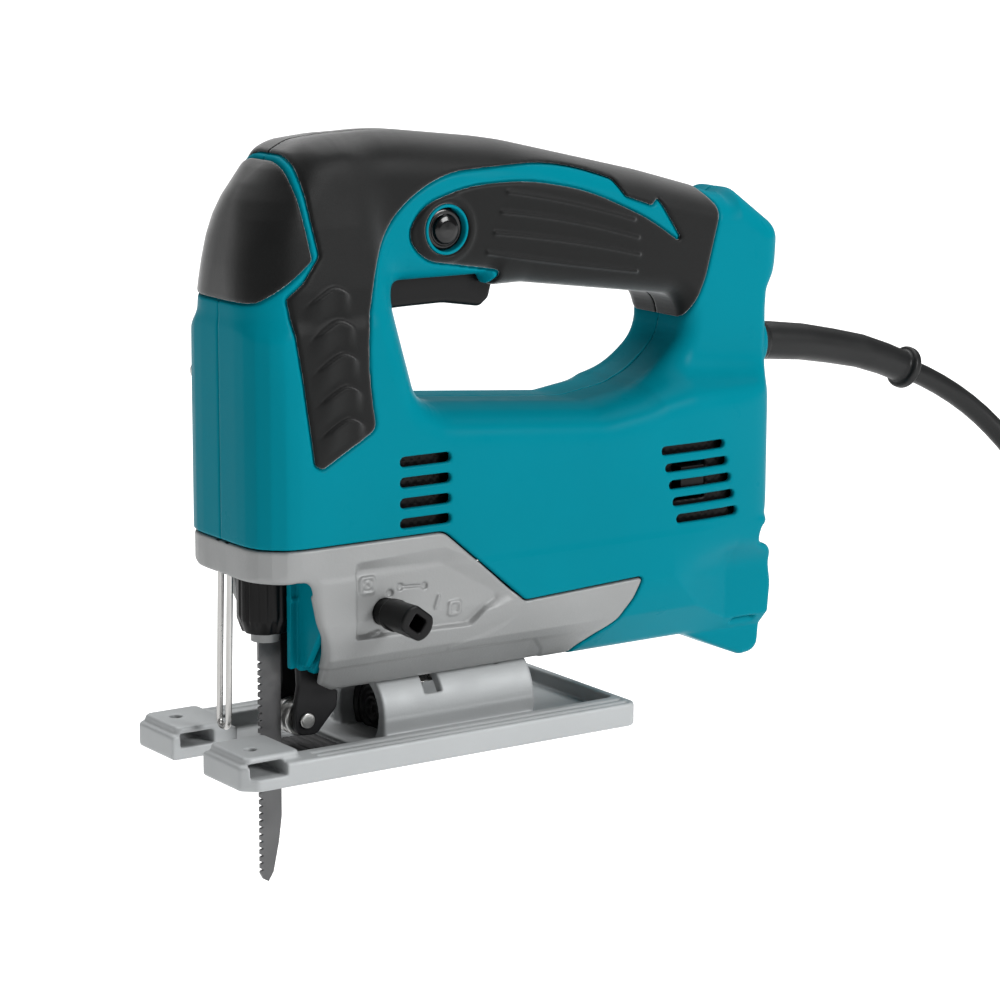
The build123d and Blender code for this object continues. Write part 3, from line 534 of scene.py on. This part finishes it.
GRIP = [((-47, 214), 0), ((-43, 182), 30), ((-41, 171.4), 2), ((-47.6, 163.4), 3),
        ((-54, 158.5), 2), ((-50.3, 132), 60), ((-46.5, 103.5), 2), ((-43.5, 102), 2),
        ((-22.5, 113.5), 4), ((-26.5, 140), 90), ((-19, 168), 44), ((-5.5, 186), 44),
        ((12, 195), 40), ((60, 196.4), 100), ((82.5, 188.6), 3), ((86.5, 182.4), 2.5),
        ((97.5, 178.6), 1), ((100.4, 181), 0.8), ((111.8, 164.2), 0.8), ((96, 174.6), 90),
        ((70, 186), 90), ((45, 190.8), 90), ((20, 190.2), 60), ((2, 184.4), 16),
        ((-3.6, 174.8), 7), ((2.8, 166), 14), ((36.6, 160.2), 2), ((33, 157), 1),
        ((33, 140), 0), ((60, 132), 0), ((100, 132), 0), ((113, 135), 3), ((121.3, 151), 40),
        ((128, 176), 5), ((124, 182), 3), ((124, 214), 0)]
# The body from above, as ((x, y), corner radius)
PLAN = [((-66.5, -31), 20), ((110, -31), 60), ((158, -24), 14), ((158, 24), 14),
        ((110, 31), 60), ((-66.5, 31), 20)]
HALF_WIDTH, HANDLE_HALF = 31, 18.5
WALL = 2.6
SKIN_OUT, SKIN_IN = 0.5, 1.2        # the rubber over and under the body's surface
BUTTON = (11.9, 176.1)              # x and z of the lock button
LEVER = (-18.7, 51.2)               # x and z of the change lever
ROD_X = -48.5                       # the plunger's axis
ROD_BORE = 7.05                     # room for its bushes
TILT_Z = 10.0                       # the shoe's tilt axis
MOTOR_Z = 82.0
GEAR_PIN_Z = 106
CORD_Z = 124.6
# Cooling slots as the (x, z) of both ends, and screws as (x, z, y of the surface round them)
FRONT_SLOTS = [(-13.7, z, 6.7, z) for z in (101.4, 94.4, 87.4, 80.6)]
REAR_SLOTS = [(94.5 + 1.7 * i, 94 - 6.2 * i, 122.9 + 1.7 * i, 94 - 6.2 * i) for i in range(5)]
SCREWS = [(-58, 129, 27.2), (16, 102, 30.6), (104, 62, 31), (142, 100, 26), (139, 150, 18.5)]


def body_field(g):
    """The outer surface of the tool's moulded body, casting included."""
    hole = outline_distance(FINGER_HOLE, g.x, g.z)
    height = np.broadcast_to(g.z, (1, 1, g.z.size))
    handle_edge = profile(height, [155, 190], [7, 15])
    handle = extruded(np.maximum(outline_distance(HANDLE, g.x, g.z), -hole),
                      np.abs(g.y) - HANDLE_HALF, handle_edge)
    width = profile(height, [22, 36, 49, 100, 130, 160, 180, 200, 212],
                    [14, 25.5, 31, 31, 29.3, 26.5, 23.5, 19.5, 18])
    foot = profile(g.x, [100, 132], [HALF_WIDTH, 18.5])
    width = np.minimum(width, foot + (HALF_WIDTH - foot) * step(height, 44, 66))
    edge = profile(height, [50, 90], [2.5, 10])
    motor = extruded(np.maximum(outline_distance(BODY, g.x, g.z), -hole),
                     np.abs(g.y) - width, edge)
    fillet = profile(g.x, [-30, -5], [6, 12])
    field = meet(join(handle, motor, fillet), outline_distance(PLAN, g.x, g.y), 3.0)
    # The motor's left rear corner is rounder than the foot below and the handle above it
    belt = step(height, 56, 66) * (1 - step(height, 144, 162))
    corner = np.hypot(np.maximum(g.x - 128, 0), np.maximum(-6 - g.y, 0)) - 25
    field = meet(field, corner - 12 * (1 - belt), 3.0)
    # The nose leans back and stays round toward its top
    front = profile(height, [140, 155, 168, 176, 183, 189, 194, 199, 204, 212],
                    [-66.8, -66.6, -65.8, -64.5, -62.4, -59.3, -55.8, -51, -45, -32])
    turn = profile(height, [140, 168, 194, 206], [20, 22, 20, 12])
    dome = np.hypot(np.maximum(front + turn - g.x, 0),
                    np.maximum(np.abs(g.y) - np.maximum(width - turn, 0), 0)) - turn
    field = meet(field, dome - 12 * (1 - step(height, 134, 152)), 3.0)
    cord_boss = rod(g, "x", 11.5, 135, 156.8, (0, CORD_Z), 2.5)
    return join(field, cord_boss, 3.0)


def nose_inner(g):
    """Follows the nose's round corners one wall inside them."""
    return outline_distance(PLAN, g.x, g.y) + 2.8


def slots(g, ends, radius):
    """Round-ended slots seen from the side, each given by the two ends of its length."""
    near = np.float32(1e3)
    for x0, z0, x1, z1 in ends:
        near = np.minimum(near, line_distance([(x0 + radius, z0), (x1 - radius, z1)], g.x, g.z,
                                              radius))
    return near


def duct_distance(g, grow):
    """The dust duct: a narrow run that widens to the hose port."""
    z = profile(g.x, [70, 126], [46, 36])
    radius = profile(g.x, [70, 126], [7.5, 14.8])
    return np.hypot(g.y, g.z - z) - radius - grow


GUARD_BEND = [(150, CORD_Z), (165, 123.6), (180, 121.8), (194, 119.1), (208, 116), (220, 112),
              (232, 107.1)]


def guard_distance(g, radius):
    """A round bar along the cord guard's bend."""
    return np.hypot(line_distance(GUARD_BEND, g.x, g.z), g.y) - radius


def housing_field(g):
    """Both halves of the shell: recesses for the grips, openings, slots and screws."""
    body = body_field(g)
    field = np.maximum(body, -(body + WALL))
    for zone in (CAP, GRIP):
        recess = np.maximum(outline_distance(zone, g.x, g.z) - 0.3, -(body + SKIN_IN))
        field = cut(field, recess, 0.9)
    field = cut(field, outline_distance(CASTING, g.x, g.z) - 0.35, 0.7)
    field = np.maximum(field, -rod(g, "y", 7.7, -40, -10, BUTTON))
    field = cut(field, block(g, (-6.6, 41), (-8.6, 8.6), (140, 164), 1.5))
    vents = np.minimum(slots(g, FRONT_SLOTS, 1.75), slots(g, REAR_SLOTS, 1.6))
    field = cut(field, np.maximum(vents, 20 - np.abs(g.y)), 0.5)
    for z in (77, 84, 91):
        field = cut(field, block(g, (147, 160), (-16, 16), (z - 1.3, z + 1.3), 0.2), 0.5)
    for x, z, y in SCREWS:
        field = cut(field, rod(g, "y", 3.7, y - 3, y + 6, (x, z)))
    foot_slot = block(g, (136.5, 147), (-40, -15.5), (23.4, 26.6), 0.8)
    field = cut(field, foot_slot)
    field = cut(field, duct_distance(g, 0.1))
    field = cut(field, guard_distance(g, 8.0))
    floor_gap = np.maximum(block(g, (-59.5, -0.5), (-26, 26), (70, 82)), nose_inner(g))
    return np.maximum(field, -floor_gap)


CHEVRONS = [(-36.8 + 0.75 * i, 160.6 - 10.7 * i) for i in range(5)]     # x and z of each tip
# Three places on each ridge
RIDGES = [((36.5, 187.1), (62.1, 182.0), (89.3, 174.6)),
          ((34, 180.5), (62.1, 175.7), (91.1, 168.2)),
          ((31.2, 173.6), (62.2, 168.7), (91.6, 162.3)),
          ((28.4, 167.1), (56.4, 162), (90.4, 156.5))]


def bowed(first, middle, last):
    """Points of a bowed line through three places."""
    ends = [np.array(p) for p in (first, middle, last)]
    pull = 2 * ends[1] - (ends[0] + ends[2]) / 2
    return [tuple((1 - t) ** 2 * ends[0] + 2 * t * (1 - t) * pull + t * t * ends[2])
            for t in np.linspace(0, 1, 8)]


def grip_relief(g):
    """Height of the front grip's scales, the inner grip's ridges and the button's collar."""
    relief = np.float32(0)
    for x, z in CHEVRONS:
        under = z - 0.6 * (np.hypot(g.x - x, 2) - 2) - g.z
        scale = np.clip(1 - under / 8, 0, 1) * step(under, -0.8, 0.1)
        reach = step(g.x, x - 13, x - 5) * (1 - step(g.x, x + 2.5, x + 7))
        relief = np.maximum(relief, 1.5 * scale * reach)
    for line in RIDGES:
        along = line_distance(bowed(*line), g.x, g.z)
        relief = np.maximum(relief, 0.9 * (1 - step(along, 0, 1.2)))
    collar = np.hypot(g.x - BUTTON[0], g.z - BUTTON[1])
    return relief + 0.5 * step(collar, 8, 9.4) * (1 - step(collar, 10.2, 12.5))


def grip_field(g):
    """Both grips, as skins that stand a little over the body and fill its recess."""
    body = body_field(g)
    zone = outline_distance(GRIP, g.x, g.z)
    skin = np.maximum(body - SKIN_OUT - grip_relief(g), -(body + SKIN_IN))
    field = meet(skin, zone, 1.6)
    field = cut(field, rod(g, "y", 8.5, -40, -10, BUTTON), 1.2)
    return cut(field, block(g, (-6.9, 41.3), (-8.9, 8.9), (140, 164), 1.5))


def cap_field(g):
    body = body_field(g)
    skin = np.maximum(body - SKIN_OUT, -(body + SKIN_IN))
    return meet(skin, outline_distance(CAP, g.x, g.z), 1.6)


HAIRLINE = 0.03         # half the gap between the halves

for side, away, low_y, high_y in (("left", 1, -33.0, 0.6), ("right", -1, -0.6, 33.0)):
    grid = Grid((-68, low_y, 9), (156, high_y, 210), VOXEL)
    half = meet(housing_field(grid), away * grid.y + HAIRLINE, 0.25)
    piece("shell_" + side, half, grid, teal, ["housing_" + side])
    grid = Grid((-60, low_y, 98), (134, high_y, 210), VOXEL * 0.85)
    half = meet(grip_field(grid), away * grid.y + HAIRLINE, 0.25)
    piece("grip_skin_" + side, half, grid, rubber, ["grip_" + side])
grid = Grid((-69, -30, 150), (-38, 30, 210), VOXEL * 0.8)
piece("nose_skin", cap_field(grid), grid, rubber, ["nose_cap"])


# ---------------------------------------------------------------- casting
# The lever's panel at its rim and at its floor, a flank that stands out and a step that lies
# deeper, all seen from the side
PANEL = [((-31.3, 69.4), 1.5), ((4.3, 70.9), 9), ((14.8, 65.8), 8), ((35, 53.5), 1.5),
         ((33, 48.6), 3), ((20.6, 46.6), 3), ((16.5, 41.6), 3), ((-30.7, 42.8), 1.5)]
PANEL_FLOOR = [((-30, 66.6), 2), ((3.5, 65.4), 6), ((27.3, 51.4), 1.5), ((21.5, 48.4), 3),
               ((15.6, 43.2), 3), ((-29.5, 44.2), 2)]
FLANK = [((20, 80), 0), ((41.5, 47.6), 8), ((28, 38), 30), ((10, 34), 0), ((120, 30), 0),
         ((120, 80), 0)]
LOWER_STEP = [((-60, 32.6), 0), ((46, 32.2), 1), ((52, 27), 1), ((60, 10), 0), ((-60, 10), 0)]


# Generic marks on the panel: squares, strokes and dots
MARK_LEFT, MARK_RIGHT = (-25.6, 61.0), (9.2, 48.9)
STROKES = [[(2.8, 53.8), (1.4, 50)], [(-24, 43.9), (-20.5, 44.3)]]
DOTS = [(-16.6, 57.2), (-12.5, 58.9), (-2.9, 58.1)]


def square_mark(g, place, half, line):
    """The outline of a rounded square, drawn with a line of a half width."""
    x, z = place
    square = extruded(between(g.x, x - half, x + half), between(g.z, z - half, z + half), 0.9)
    return np.abs(square) - line


def panel_inset(g):
    """Depth of the lever's panel under the casting's left side, less its marks."""
    edge = np.maximum(-outline_distance(PANEL, g.x, g.z), 0)
    inner = np.maximum(outline_distance(PANEL_FLOOR, g.x, g.z), 0)
    inset = 2.3 * edge / np.maximum(edge + inner, 0.1)
    marks = np.minimum(square_mark(g, MARK_LEFT, 2.5, 0.4), square_mark(g, MARK_RIGHT, 2.1, 0.4))
    inner_square = np.maximum(square_mark(g, MARK_LEFT, 1.1, 0.3),
                              square_mark(g, MARK_LEFT, 2.5, 3))
    marks = np.minimum(marks, inner_square)
    for line in STROKES:
        marks = np.minimum(marks, line_distance(line, g.x, g.z, 0.4))
    inset = inset - 0.75 * (1 - step(marks, 0, 0.5))
    dots = line_distance(DOTS[1:], g.x, g.z, 0.2)
    for x, z in DOTS:
        dots = np.minimum(dots, np.hypot(g.x - x, g.z - z) - 1.0)
    return inset + 0.8 * (1 - step(dots, 0, 0.5))


# The blade clamp's bay from the front, as ((y, z), corner radius)
BAY = [((-25.6, 62), 3), ((-25.6, 46), 4), ((-11, 24), 3), ((-11, 10), 0), ((11, 10), 0),
       ((11, 24), 3), ((25.6, 46), 4), ((25.6, 62), 3)]
FORK_PIVOT = (-30.0, 46.0)


def casting_field(g):
    """The gear housing's outside: a shell with the clamp's bay, the duct and the bolt's boss."""
    body = body_field(g)
    zone = outline_distance(CASTING, g.x, g.z)
    flank = step(outline_distance(FLANK, g.x, g.z), -0.2, 1.6)
    ledge = 1 - step(outline_distance(LOWER_STEP, g.x, g.z), -0.3, 0.4)
    inset = 0.35 * flank + 0.45 * ledge + np.where(g.y < 0, panel_inset(g), 0)
    field = meet(body + inset, zone + 0.12, 1.0)
    field = np.maximum(field, -np.maximum(body + 4.2, zone + 3))
    field = np.minimum(field, block(g, (3, 15), (-7, 7), (24, 38)))
    nose_bay = np.maximum(block(g, (-64, -42), (-27, 27), (60, 72.8), 0.5), nose_inner(g))
    field = cut(field, nose_bay, 1.0)
    bay = np.maximum(outline_distance(BAY, g.y, g.z), between(g.x, -52, -25))
    field = cut(field, bay, 1.2)
    field = cut(field, rod(g, "x", 17.2, -13, 51, (0, TILT_Z)))
    field = cut(field, rod(g, "z", ROD_BORE, 67, 80, (ROD_X, 0)))
    field = cut(field, rod(g, "y", 4.55, -40, -20, LEVER), 0.4)
    field = cut(field, rod(g, "z", 3.05, 20, 40, (9, 0)), 0.3)
    for y in (-3, 3):
        field = cut(field, rod(g, "z", 1.2, 60, 80, (-63.5, y)), 0.3)
    field = cut(field, rod(g, "y", 2.55, -24.5, 24.5, FORK_PIVOT), 0.3)
    return cut(field, duct_distance(g, 0.1))


def bracket_field(g):
    """The casting's deck, webs and bearing plate inside the housing."""
    field = block(g, (-58, -24), (-22, 22), (136, 143))
    for y in ((-22, -19), (19, 22)):
        field = np.minimum(field, block(g, (-52.5, -24), y, (74, 143)))
    field = np.minimum(field, block(g, (-7, -1), (-22, 22), (74, 112)))
    field = join(field, rod(g, "z", 9.5, 74, 83, (ROD_X, 0)))
    for hole in (rod(g, "z", ROD_BORE, 60, 150, (ROD_X, 0)),
                 rod(g, "x", 9.55, -10, 2, (0, MOTOR_Z)),
                 rod(g, "x", 4.05, -10, 2, (0, GEAR_PIN_Z))):
        field = np.maximum(field, -hole)
    return field


# ---------------------------------------------------------------- shoe
# The shoe from above, as ((x, y), corner radius)
SHOE = [((-79, -34), 2.5), ((-74, -38.5), 2.5), ((79, -38.5), 4), ((79, 38.5), 4),
        ((-74, 38.5), 2.5), ((-79, 34), 2.5)]
HUMP = (-12.0, 50.0)                # where the hump begins and ends
HUMP_OUT, HUMP_IN = 16.6, 12.6      # its radii
BLADE_HALF, ROLLER_HALF = 10, 12    # half widths of the blade's notch and the roller's bay


def hump_shade_disc_field(g):
    """A ribbed black disc that closes the front of the hump's hollow: painted shade, standing in for
    the shade inside the hollow.
    """
    away = np.hypot(g.y, g.z - TILT_Z)
    face = -6.2 - 0.5 * np.cos(away * 1.6)
    field = extruded(away - 12.4, np.maximum(face - g.x, g.x + 3.7), 0.3)
    return np.maximum(field, 3.1 - g.z)


def roller_shade_plate_field(g):
    """A thin dark plate under the roller, behind the blade's slot: painted shade, standing in for the
    shade on the shoe's floor there.
    """
    plan = extruded(between(g.x, -41.6, -23.4), np.abs(g.y) - 11.6, 1.5)
    ribs = 0.25 * step(np.cos(g.x * 2.1), 0.3, 0.9)
    return extruded(plan, between(g.z, 0.2, 1.6) + ribs, 0.2)


def shoe_field(g):
    """A flat tray with two prongs at the front and the hollow hump that it tilts on."""
    side = np.abs(g.y)
    outline = outline_distance(SHOE, g.x, g.y)
    field = extruded(outline, between(g.z, 0, 8.4), 1.1)
    prong = extruded(between(g.x, -77, -56), between(side, 10.4, 34.8), 2.5)
    field = join(field, extruded(prong, between(g.z, 3, 11), 1.2), 1.5)
    # The prongs slope down to their fronts and cut corners
    corner = 0.743 * (side - 34) - 0.67 * (g.x + 79)
    field = meet(field, (g.z - 8.4 + corner) * 0.7, 0.5)
    field = meet(field, (g.z - 9.3 - 0.7 * (g.x + 79)) * 0.8, 0.5)
    pocket = extruded(between(g.x, -24, 76), side - 27, 3)
    field = cut(field, np.maximum(pocket, 3 - g.z), 1.2)
    field = cut(field, block(g, (-54, -22), (-27, 27), (3, 20), 0.8), 1.0)
    for near in (31.2, 35.2):
        groove = np.maximum(between(side, near, near + 1.4), between(g.x, -50, 76))
        field = cut(field, np.maximum(groove, 7.6 - g.z), 0.8)
    field = cut(field, block(g, (-82, -50), (-BLADE_HALF, BLADE_HALF), (-2, 20), 1.5), 0.8)
    field = cut(field, block(g, (-53, -23), (-ROLLER_HALF, ROLLER_HALF), (-2, 20), 2), 0.8)
    field = cut(field, block(g, (-76, -63), (-50, 50), (4.2, 8.8), 0.8), 0.6)
    tapped = np.hypot(g.x + 69.5, side - 25)
    field = cut(field, np.maximum(tapped - 2.1, 6 - g.z), 0.4)
    round_hump = np.hypot(g.y, g.z - TILT_Z)
    hump = extruded(round_hump - HUMP_OUT, between(g.x, *HUMP), 0.8)
    # The hump's flanks go straight down to the floor, with a bead along each foot
    flank = extruded(side - HUMP_OUT, between(g.z, 1, TILT_Z), 0.3)
    flank = extruded(flank, between(g.x, *HUMP), 0.8)
    field = join(field, join(np.maximum(hump, -g.z), flank), 1.2)
    bead = extruded(np.hypot(side - 18.4, g.z - 3.2) - 1.7, between(g.x, -11, 49), 0.5)
    field = join(field, bead, 1.0)
    hollow = np.minimum(round_hump - HUMP_IN, np.maximum(side - HUMP_IN, g.z - TILT_Z))
    field = np.maximum(field, -np.maximum(hollow, between(g.x, 3, 46)))
    fan = np.maximum(TILT_Z + 0.46 * side - g.z, between(g.x, 5.6, 12.4))
    field = cut(field, fan, 0.4)
    field = cut(field, rod(g, "z", 2.3, 18, 30, (37, -8.5)), 0.5)
    front = np.maximum(round_hump - HUMP_IN, between(g.x, -20, -4))
    field = cut(field, np.maximum(front, 3 - g.z), 0.6)
    return np.maximum(field, -g.z)


# ---------------------------------------------------------------- blade clamp, fork and roller
def sleeve_field(g):
    """The clamp's fluted grip, with lugs at its rim."""
    away = np.hypot(g.x - ROD_X, g.y)
    angle = np.arctan2(g.y, g.x - ROD_X)
    outer = profile(g.z, [43.2, 46.6, 48, 66, 67], [7.9, 9.2, 9.7, 9.7, 8.9])
    flutes = 0.35 * step(np.cos(angle * 16), 0.2, 0.9) * step(g.z, 45.5, 48) * (
        1 - step(g.z, 62.5, 64))
    lugs = 0.5 * step(np.cos(angle * 4 + 0.6), 0.7, 0.9) * (1 - step(g.z, 47.5, 49.5))
    field = extruded(away - outer + flutes + lugs, between(g.z, 43.2, 67), 0.5)
    return np.maximum(field, 6.58 - away)


FORK = [((-36.5, 52), 5), ((-24, 52), 5), ((-25.5, 42), 3), ((-30.5, 37), 3), ((-30.5, 25), 3),
        ((-24.5, 20.5), 2), ((-25, 15), 3), ((-33, 6.4), 4), ((-41.5, 6.8), 4), ((-41.5, 16), 5),
        ((-40, 24), 6), ((-40.8, 40), 3), ((-36.5, 45), 4)]
ROLLER = (-37.2, 12.0)
PIN_RADIUS = 2.0


def fork_field(g):
    """Two plates beside the roller, joined behind the blade and at the pivot."""
    plates = extruded(outline_distance(FORK, g.x, g.z), between(np.abs(g.y), 4.6, 7.4), 0.7)
    field = join(plates, block(g, (-31.5, -27.5), (-5, 5), (22, 38)), 1.0)
    field = join(field, rod(g, "y", 5.6, -5, 5, FORK_PIVOT), 1.0)
    for radius, place in ((2.55, FORK_PIVOT), (PIN_RADIUS, ROLLER)):
        field = np.maximum(field, -rod(g, "y", radius, -20, 20, place))
    return field


def roller_field(g):
    field = rod(g, "y", 6.2, -4.2, 4.2, ROLLER, 0.6)
    away = np.hypot(g.x - ROLLER[0], g.z - ROLLER[1])
    field = cut(field, np.maximum(np.abs(g.y) - 1.1, 5.5 - away), 0.4)
    return np.maximum(field, PIN_RADIUS + 0.05 - away)


def roller_pin_field(g):
    pin = rod(g, "y", PIN_RADIUS, -8.6, 8.6, ROLLER, 0.3)
    return join(pin, rod(g, "y", 2.7, -8.6, -7.5, ROLLER, 0.4), 0.3)


# The cover from the front, as ((y, z), corner radius)
LEFT_WING = [((-11.8, 33), 1), ((-16.6, 33), 1), ((-26.7, 47.6), 1), ((-26.7, 72), 1),
             ((-11.8, 72), 1)]
BACK_WALL = [((-9, 29.5), 1), ((-13.6, 29.5), 1), ((-19.8, 38.5), 1), ((-23.6, 47), 1),
             ((-23.6, 57), 1), ((-9, 57), 1)]


def cover_field(g):
    """The moulded cover behind the blade clamp: a half pipe, wings, a web and a back wall."""
    away = np.hypot(g.x - ROD_X, g.y)
    pipe = np.maximum(np.abs(away - 11.85) - 1.25, ROD_X + 2 - g.x)
    pipe = extruded(pipe, between(g.z, 32, 72), 0.5)
    rib = extruded(np.abs(away - 12.2) - 1.5, between(g.z, 55, 56.4), 0.3)
    pipe = join(pipe, np.maximum(rib, ROD_X + 2.5 - g.x), 0.8)
    thick = between(g.x, -43, -40.4)
    field = join(pipe, extruded(outline_distance(LEFT_WING, g.y, g.z), thick, 0.5), 1.0)
    web = extruded(between(g.x, -43, -35.6), between(g.z, 31, 72), 0.6)
    field = join(field, extruded(web, between(g.y, -13.4, -10.8), 0.5), 1.0)
    back = extruded(outline_distance(BACK_WALL, g.y, g.z), between(g.x, -38.2, -35.6), 0.5)
    field = join(field, back, 1.0)
    right = extruded(between(g.y, 11.8, 26.7), between(g.z, 52, 72), 1.0)
    field = join(field, extruded(right, thick, 0.5), 1.0)
    field = cut(field, block(g, (-50, -30), (-8.4, 8.4), (29, 53), 1.5), 0.6)
    return cut(field, block(g, (-50, -30), (0, 20), (29, 47)), 0.6)


# ---------------------------------------------------------------- controls
TRIGGER = [((-5.4, 166), 2), ((-5.4, 149.2), 2.5), ((2, 149.4), 4), ((18, 149.6), 20),
           ((33, 147.2), 3), ((36.6, 150), 3), ((38.2, 156), 3), ((36, 164), 3), ((20, 166), 3)]


def trigger_field(g):
    field = extruded(outline_distance(TRIGGER, g.x, g.z), np.abs(g.y) - 8, 1.8)
    return np.maximum(field, 2.08 - np.hypot(g.x + 1.5, g.z - 163))


def button_field(g):
    """A round button with a rim, a groove and a crowned face."""
    away = np.hypot(g.x - BUTTON[0], g.z - BUTTON[1])
    face = profile(away, [0, 3.0, 4.6, 5.0, 6.0, 7.0], [-19.6, -19.4, -18.9, -17.5, -17.7, -17.4])
    return extruded(away - 7.0, np.maximum(face - g.y, g.y + 12), 0.4)


def ring_field(g):
    """The thin collar of the shell around the lock button."""
    away = np.hypot(g.x - BUTTON[0], g.z - BUTTON[1])
    return extruded(np.abs(away - 7.95) - 0.55, between(g.y, -19.3, -15), 0.3)


def lever_field(g):
    """The change lever's knob on its round stem."""
    away = np.hypot(g.x - LEVER[0], g.z - LEVER[1])
    radius = profile(g.y, [-48, -32.2, -32.1, -24], [6.2, 5.4, 4.5, 4.5])
    field = extruded(away - radius, between(g.y, -48, -24), 0.7)
    # Two flats toward the end, and a square hole across it
    flat = 0.6 * (g.x - LEVER[0]) + 0.8 * (g.z - LEVER[1])
    for side in (-1, 1):
        field = cut(field, np.maximum(4.9 - side * flat, between(g.y, -50, -35.5)), 0.7)
    u, v = (g.x - LEVER[0]) * 0.8 - (g.z - LEVER[1]) * 0.6, flat
    hole = extruded(extruded(np.abs(u) - 2.5, np.abs(v) - 2.5, 0.7), between(g.y, -49, -39), 0.3)
    return cut(field, hole, 0.5)


def guard_field(g):
    """The cord guard: a tapered sleeve along the bend, with a collar and an end flange."""
    taper = profile(g.x, [150, 225], [7.2, 6.0])
    collar = 0.5 * (step(g.x, 156, 157) - step(g.x, 160, 161))
    line = guard_distance(g, taper + collar)
    (last_x, last_z), (tip_x, tip_z) = GUARD_BEND[-2:]
    end = Vector((tip_x - last_x, tip_z - last_z)).normalized()
    along = (g.x - tip_x) * end[0] + (g.z - tip_z) * end[1]
    field = extruded(line, along, 0.6)
    flange = extruded(guard_distance(g, 8.0), between(along, -3.4, 0), 1.0)
    field = join(field, flange, 1.2)
    return np.maximum(field, 150.2 - g.x)


def slot_shade_field(g):
    """Black sheets inside the cooling slots, dimpled all over, clear of the brush holders: painted
    shade, standing in for the shade inside the slots.
    """
    dimples = 0.25 * np.cos(g.x * 2) * np.cos(g.z * 2)
    thick = between(np.abs(g.y), 23.2, 24.8) + dimples
    outline = np.minimum(extruded(between(g.x, -17, 10), between(g.z, 76.5, 105), 3),
                         extruded(between(g.x, 91, 129), between(g.z, 64, 98), 3))
    return cut(extruded(outline, thick, 0.4), block(g, (103, 117), (-30, 30), (75, 89)))


# Name, field, low and high corner of its grid, cell size in voxels, material, slot, the CAD
# nodes that it replaces, and its body
small_parts = [
    ("casting", casting_field, (-68, -33, 20), (88, 33, 78), 0.72, cast, "cast_aluminium",
     ["gear_housing"], "tool_body"),
    ("casting_bracket", bracket_field, (-59, -23, 73), (0, 23, 144), 1.2, cast,
     "cast_aluminium", ["gear_housing"], "tool_body"),
    ("shoe_plate", shoe_field, (-80, -39, -1), (80, 39, 28), 0.8, plate, "cast_aluminium",
     ["base_plate"], "shoe"),
    ("sleeve_grip", sleeve_field, (-59, -10, 42), (-38, 10, 68), 0.5, black, "black_plastic",
     ["clamp_sleeve"], "sleeve"),
    ("fork", fork_field, (-42, -8, 5), (-23, 8, 53), 0.5, dark_steel, "dark_steel",
     ["retainer_fork"], "retainer"),
    ("roller_wheel", roller_field, (-44, -5, 5), (-30, 5, 19), 0.45, roller_steel, "dark_steel",
     ["roller"], "guide_roller"),
    ("roller_axle", roller_pin_field, (-41, -9, 8), (-34, 9, 16), 0.35, roller_steel,
     "plated_steel", ["roller_pin"], "retainer"),
    ("clamp_cover", cover_field, (-48, -28, 28), (-33, 28, 73), 0.6, teal_hard, "teal_plastic",
     ["insulation_cover"], "tool_body"),
    ("trigger_key", trigger_field, (-7, -9, 146), (40, 9, 167), 0.6, black, "black_plastic",
     ["trigger"], "trigger"),
    ("lock_knob", button_field, (4, -21, 168), (20, -11, 184), 0.4, gloss, "black_plastic",
     ["lock_button"], "lock"),
    ("lock_collar", ring_field, (2, -20, 166), (22, -14, 186), 0.5, teal_hard, "teal_plastic",
     [], "tool_body"),
    # A dark plate that paints the shade on the shoe's floor under the roller
    ("chip_guard", roller_shade_plate_field, (-43, -13, 0), (-22, 13, 3), 0.5, dark_steel, "dark_steel",
     [], "shoe"),
    # A black disc that paints the shade inside the hump's front
    ("hump_seal", hump_shade_disc_field, (-8, -13, 2), (-3, 13, 24), 0.7, black, "black_plastic",
     [], "shoe"),
    ("lever_knob", lever_field, (-26, -49, 44), (-11, -23, 59), 0.45, black, "black_plastic",
     ["change_lever"], "lever"),
    ("cord_sleeve", guard_field, (149, -9, 96), (237, 9, 134), 0.6, sheath, "cord_rubber",
     ["cord_guard"], "tool_body"),
    # Black sheets that paint the shade inside the cooling slots
    ("dust_screens", slot_shade_field, (-18, -26, 63), (130, 26, 106), 1.0, black, "black_plastic",
     [], "tool_body"),
]
for name, field_of, low, high, fineness, material, slot, nodes, body in small_parts:
    grid = Grid(low, high, VOXEL * fineness)
    piece(name, field_of(grid), grid, material, nodes, body)
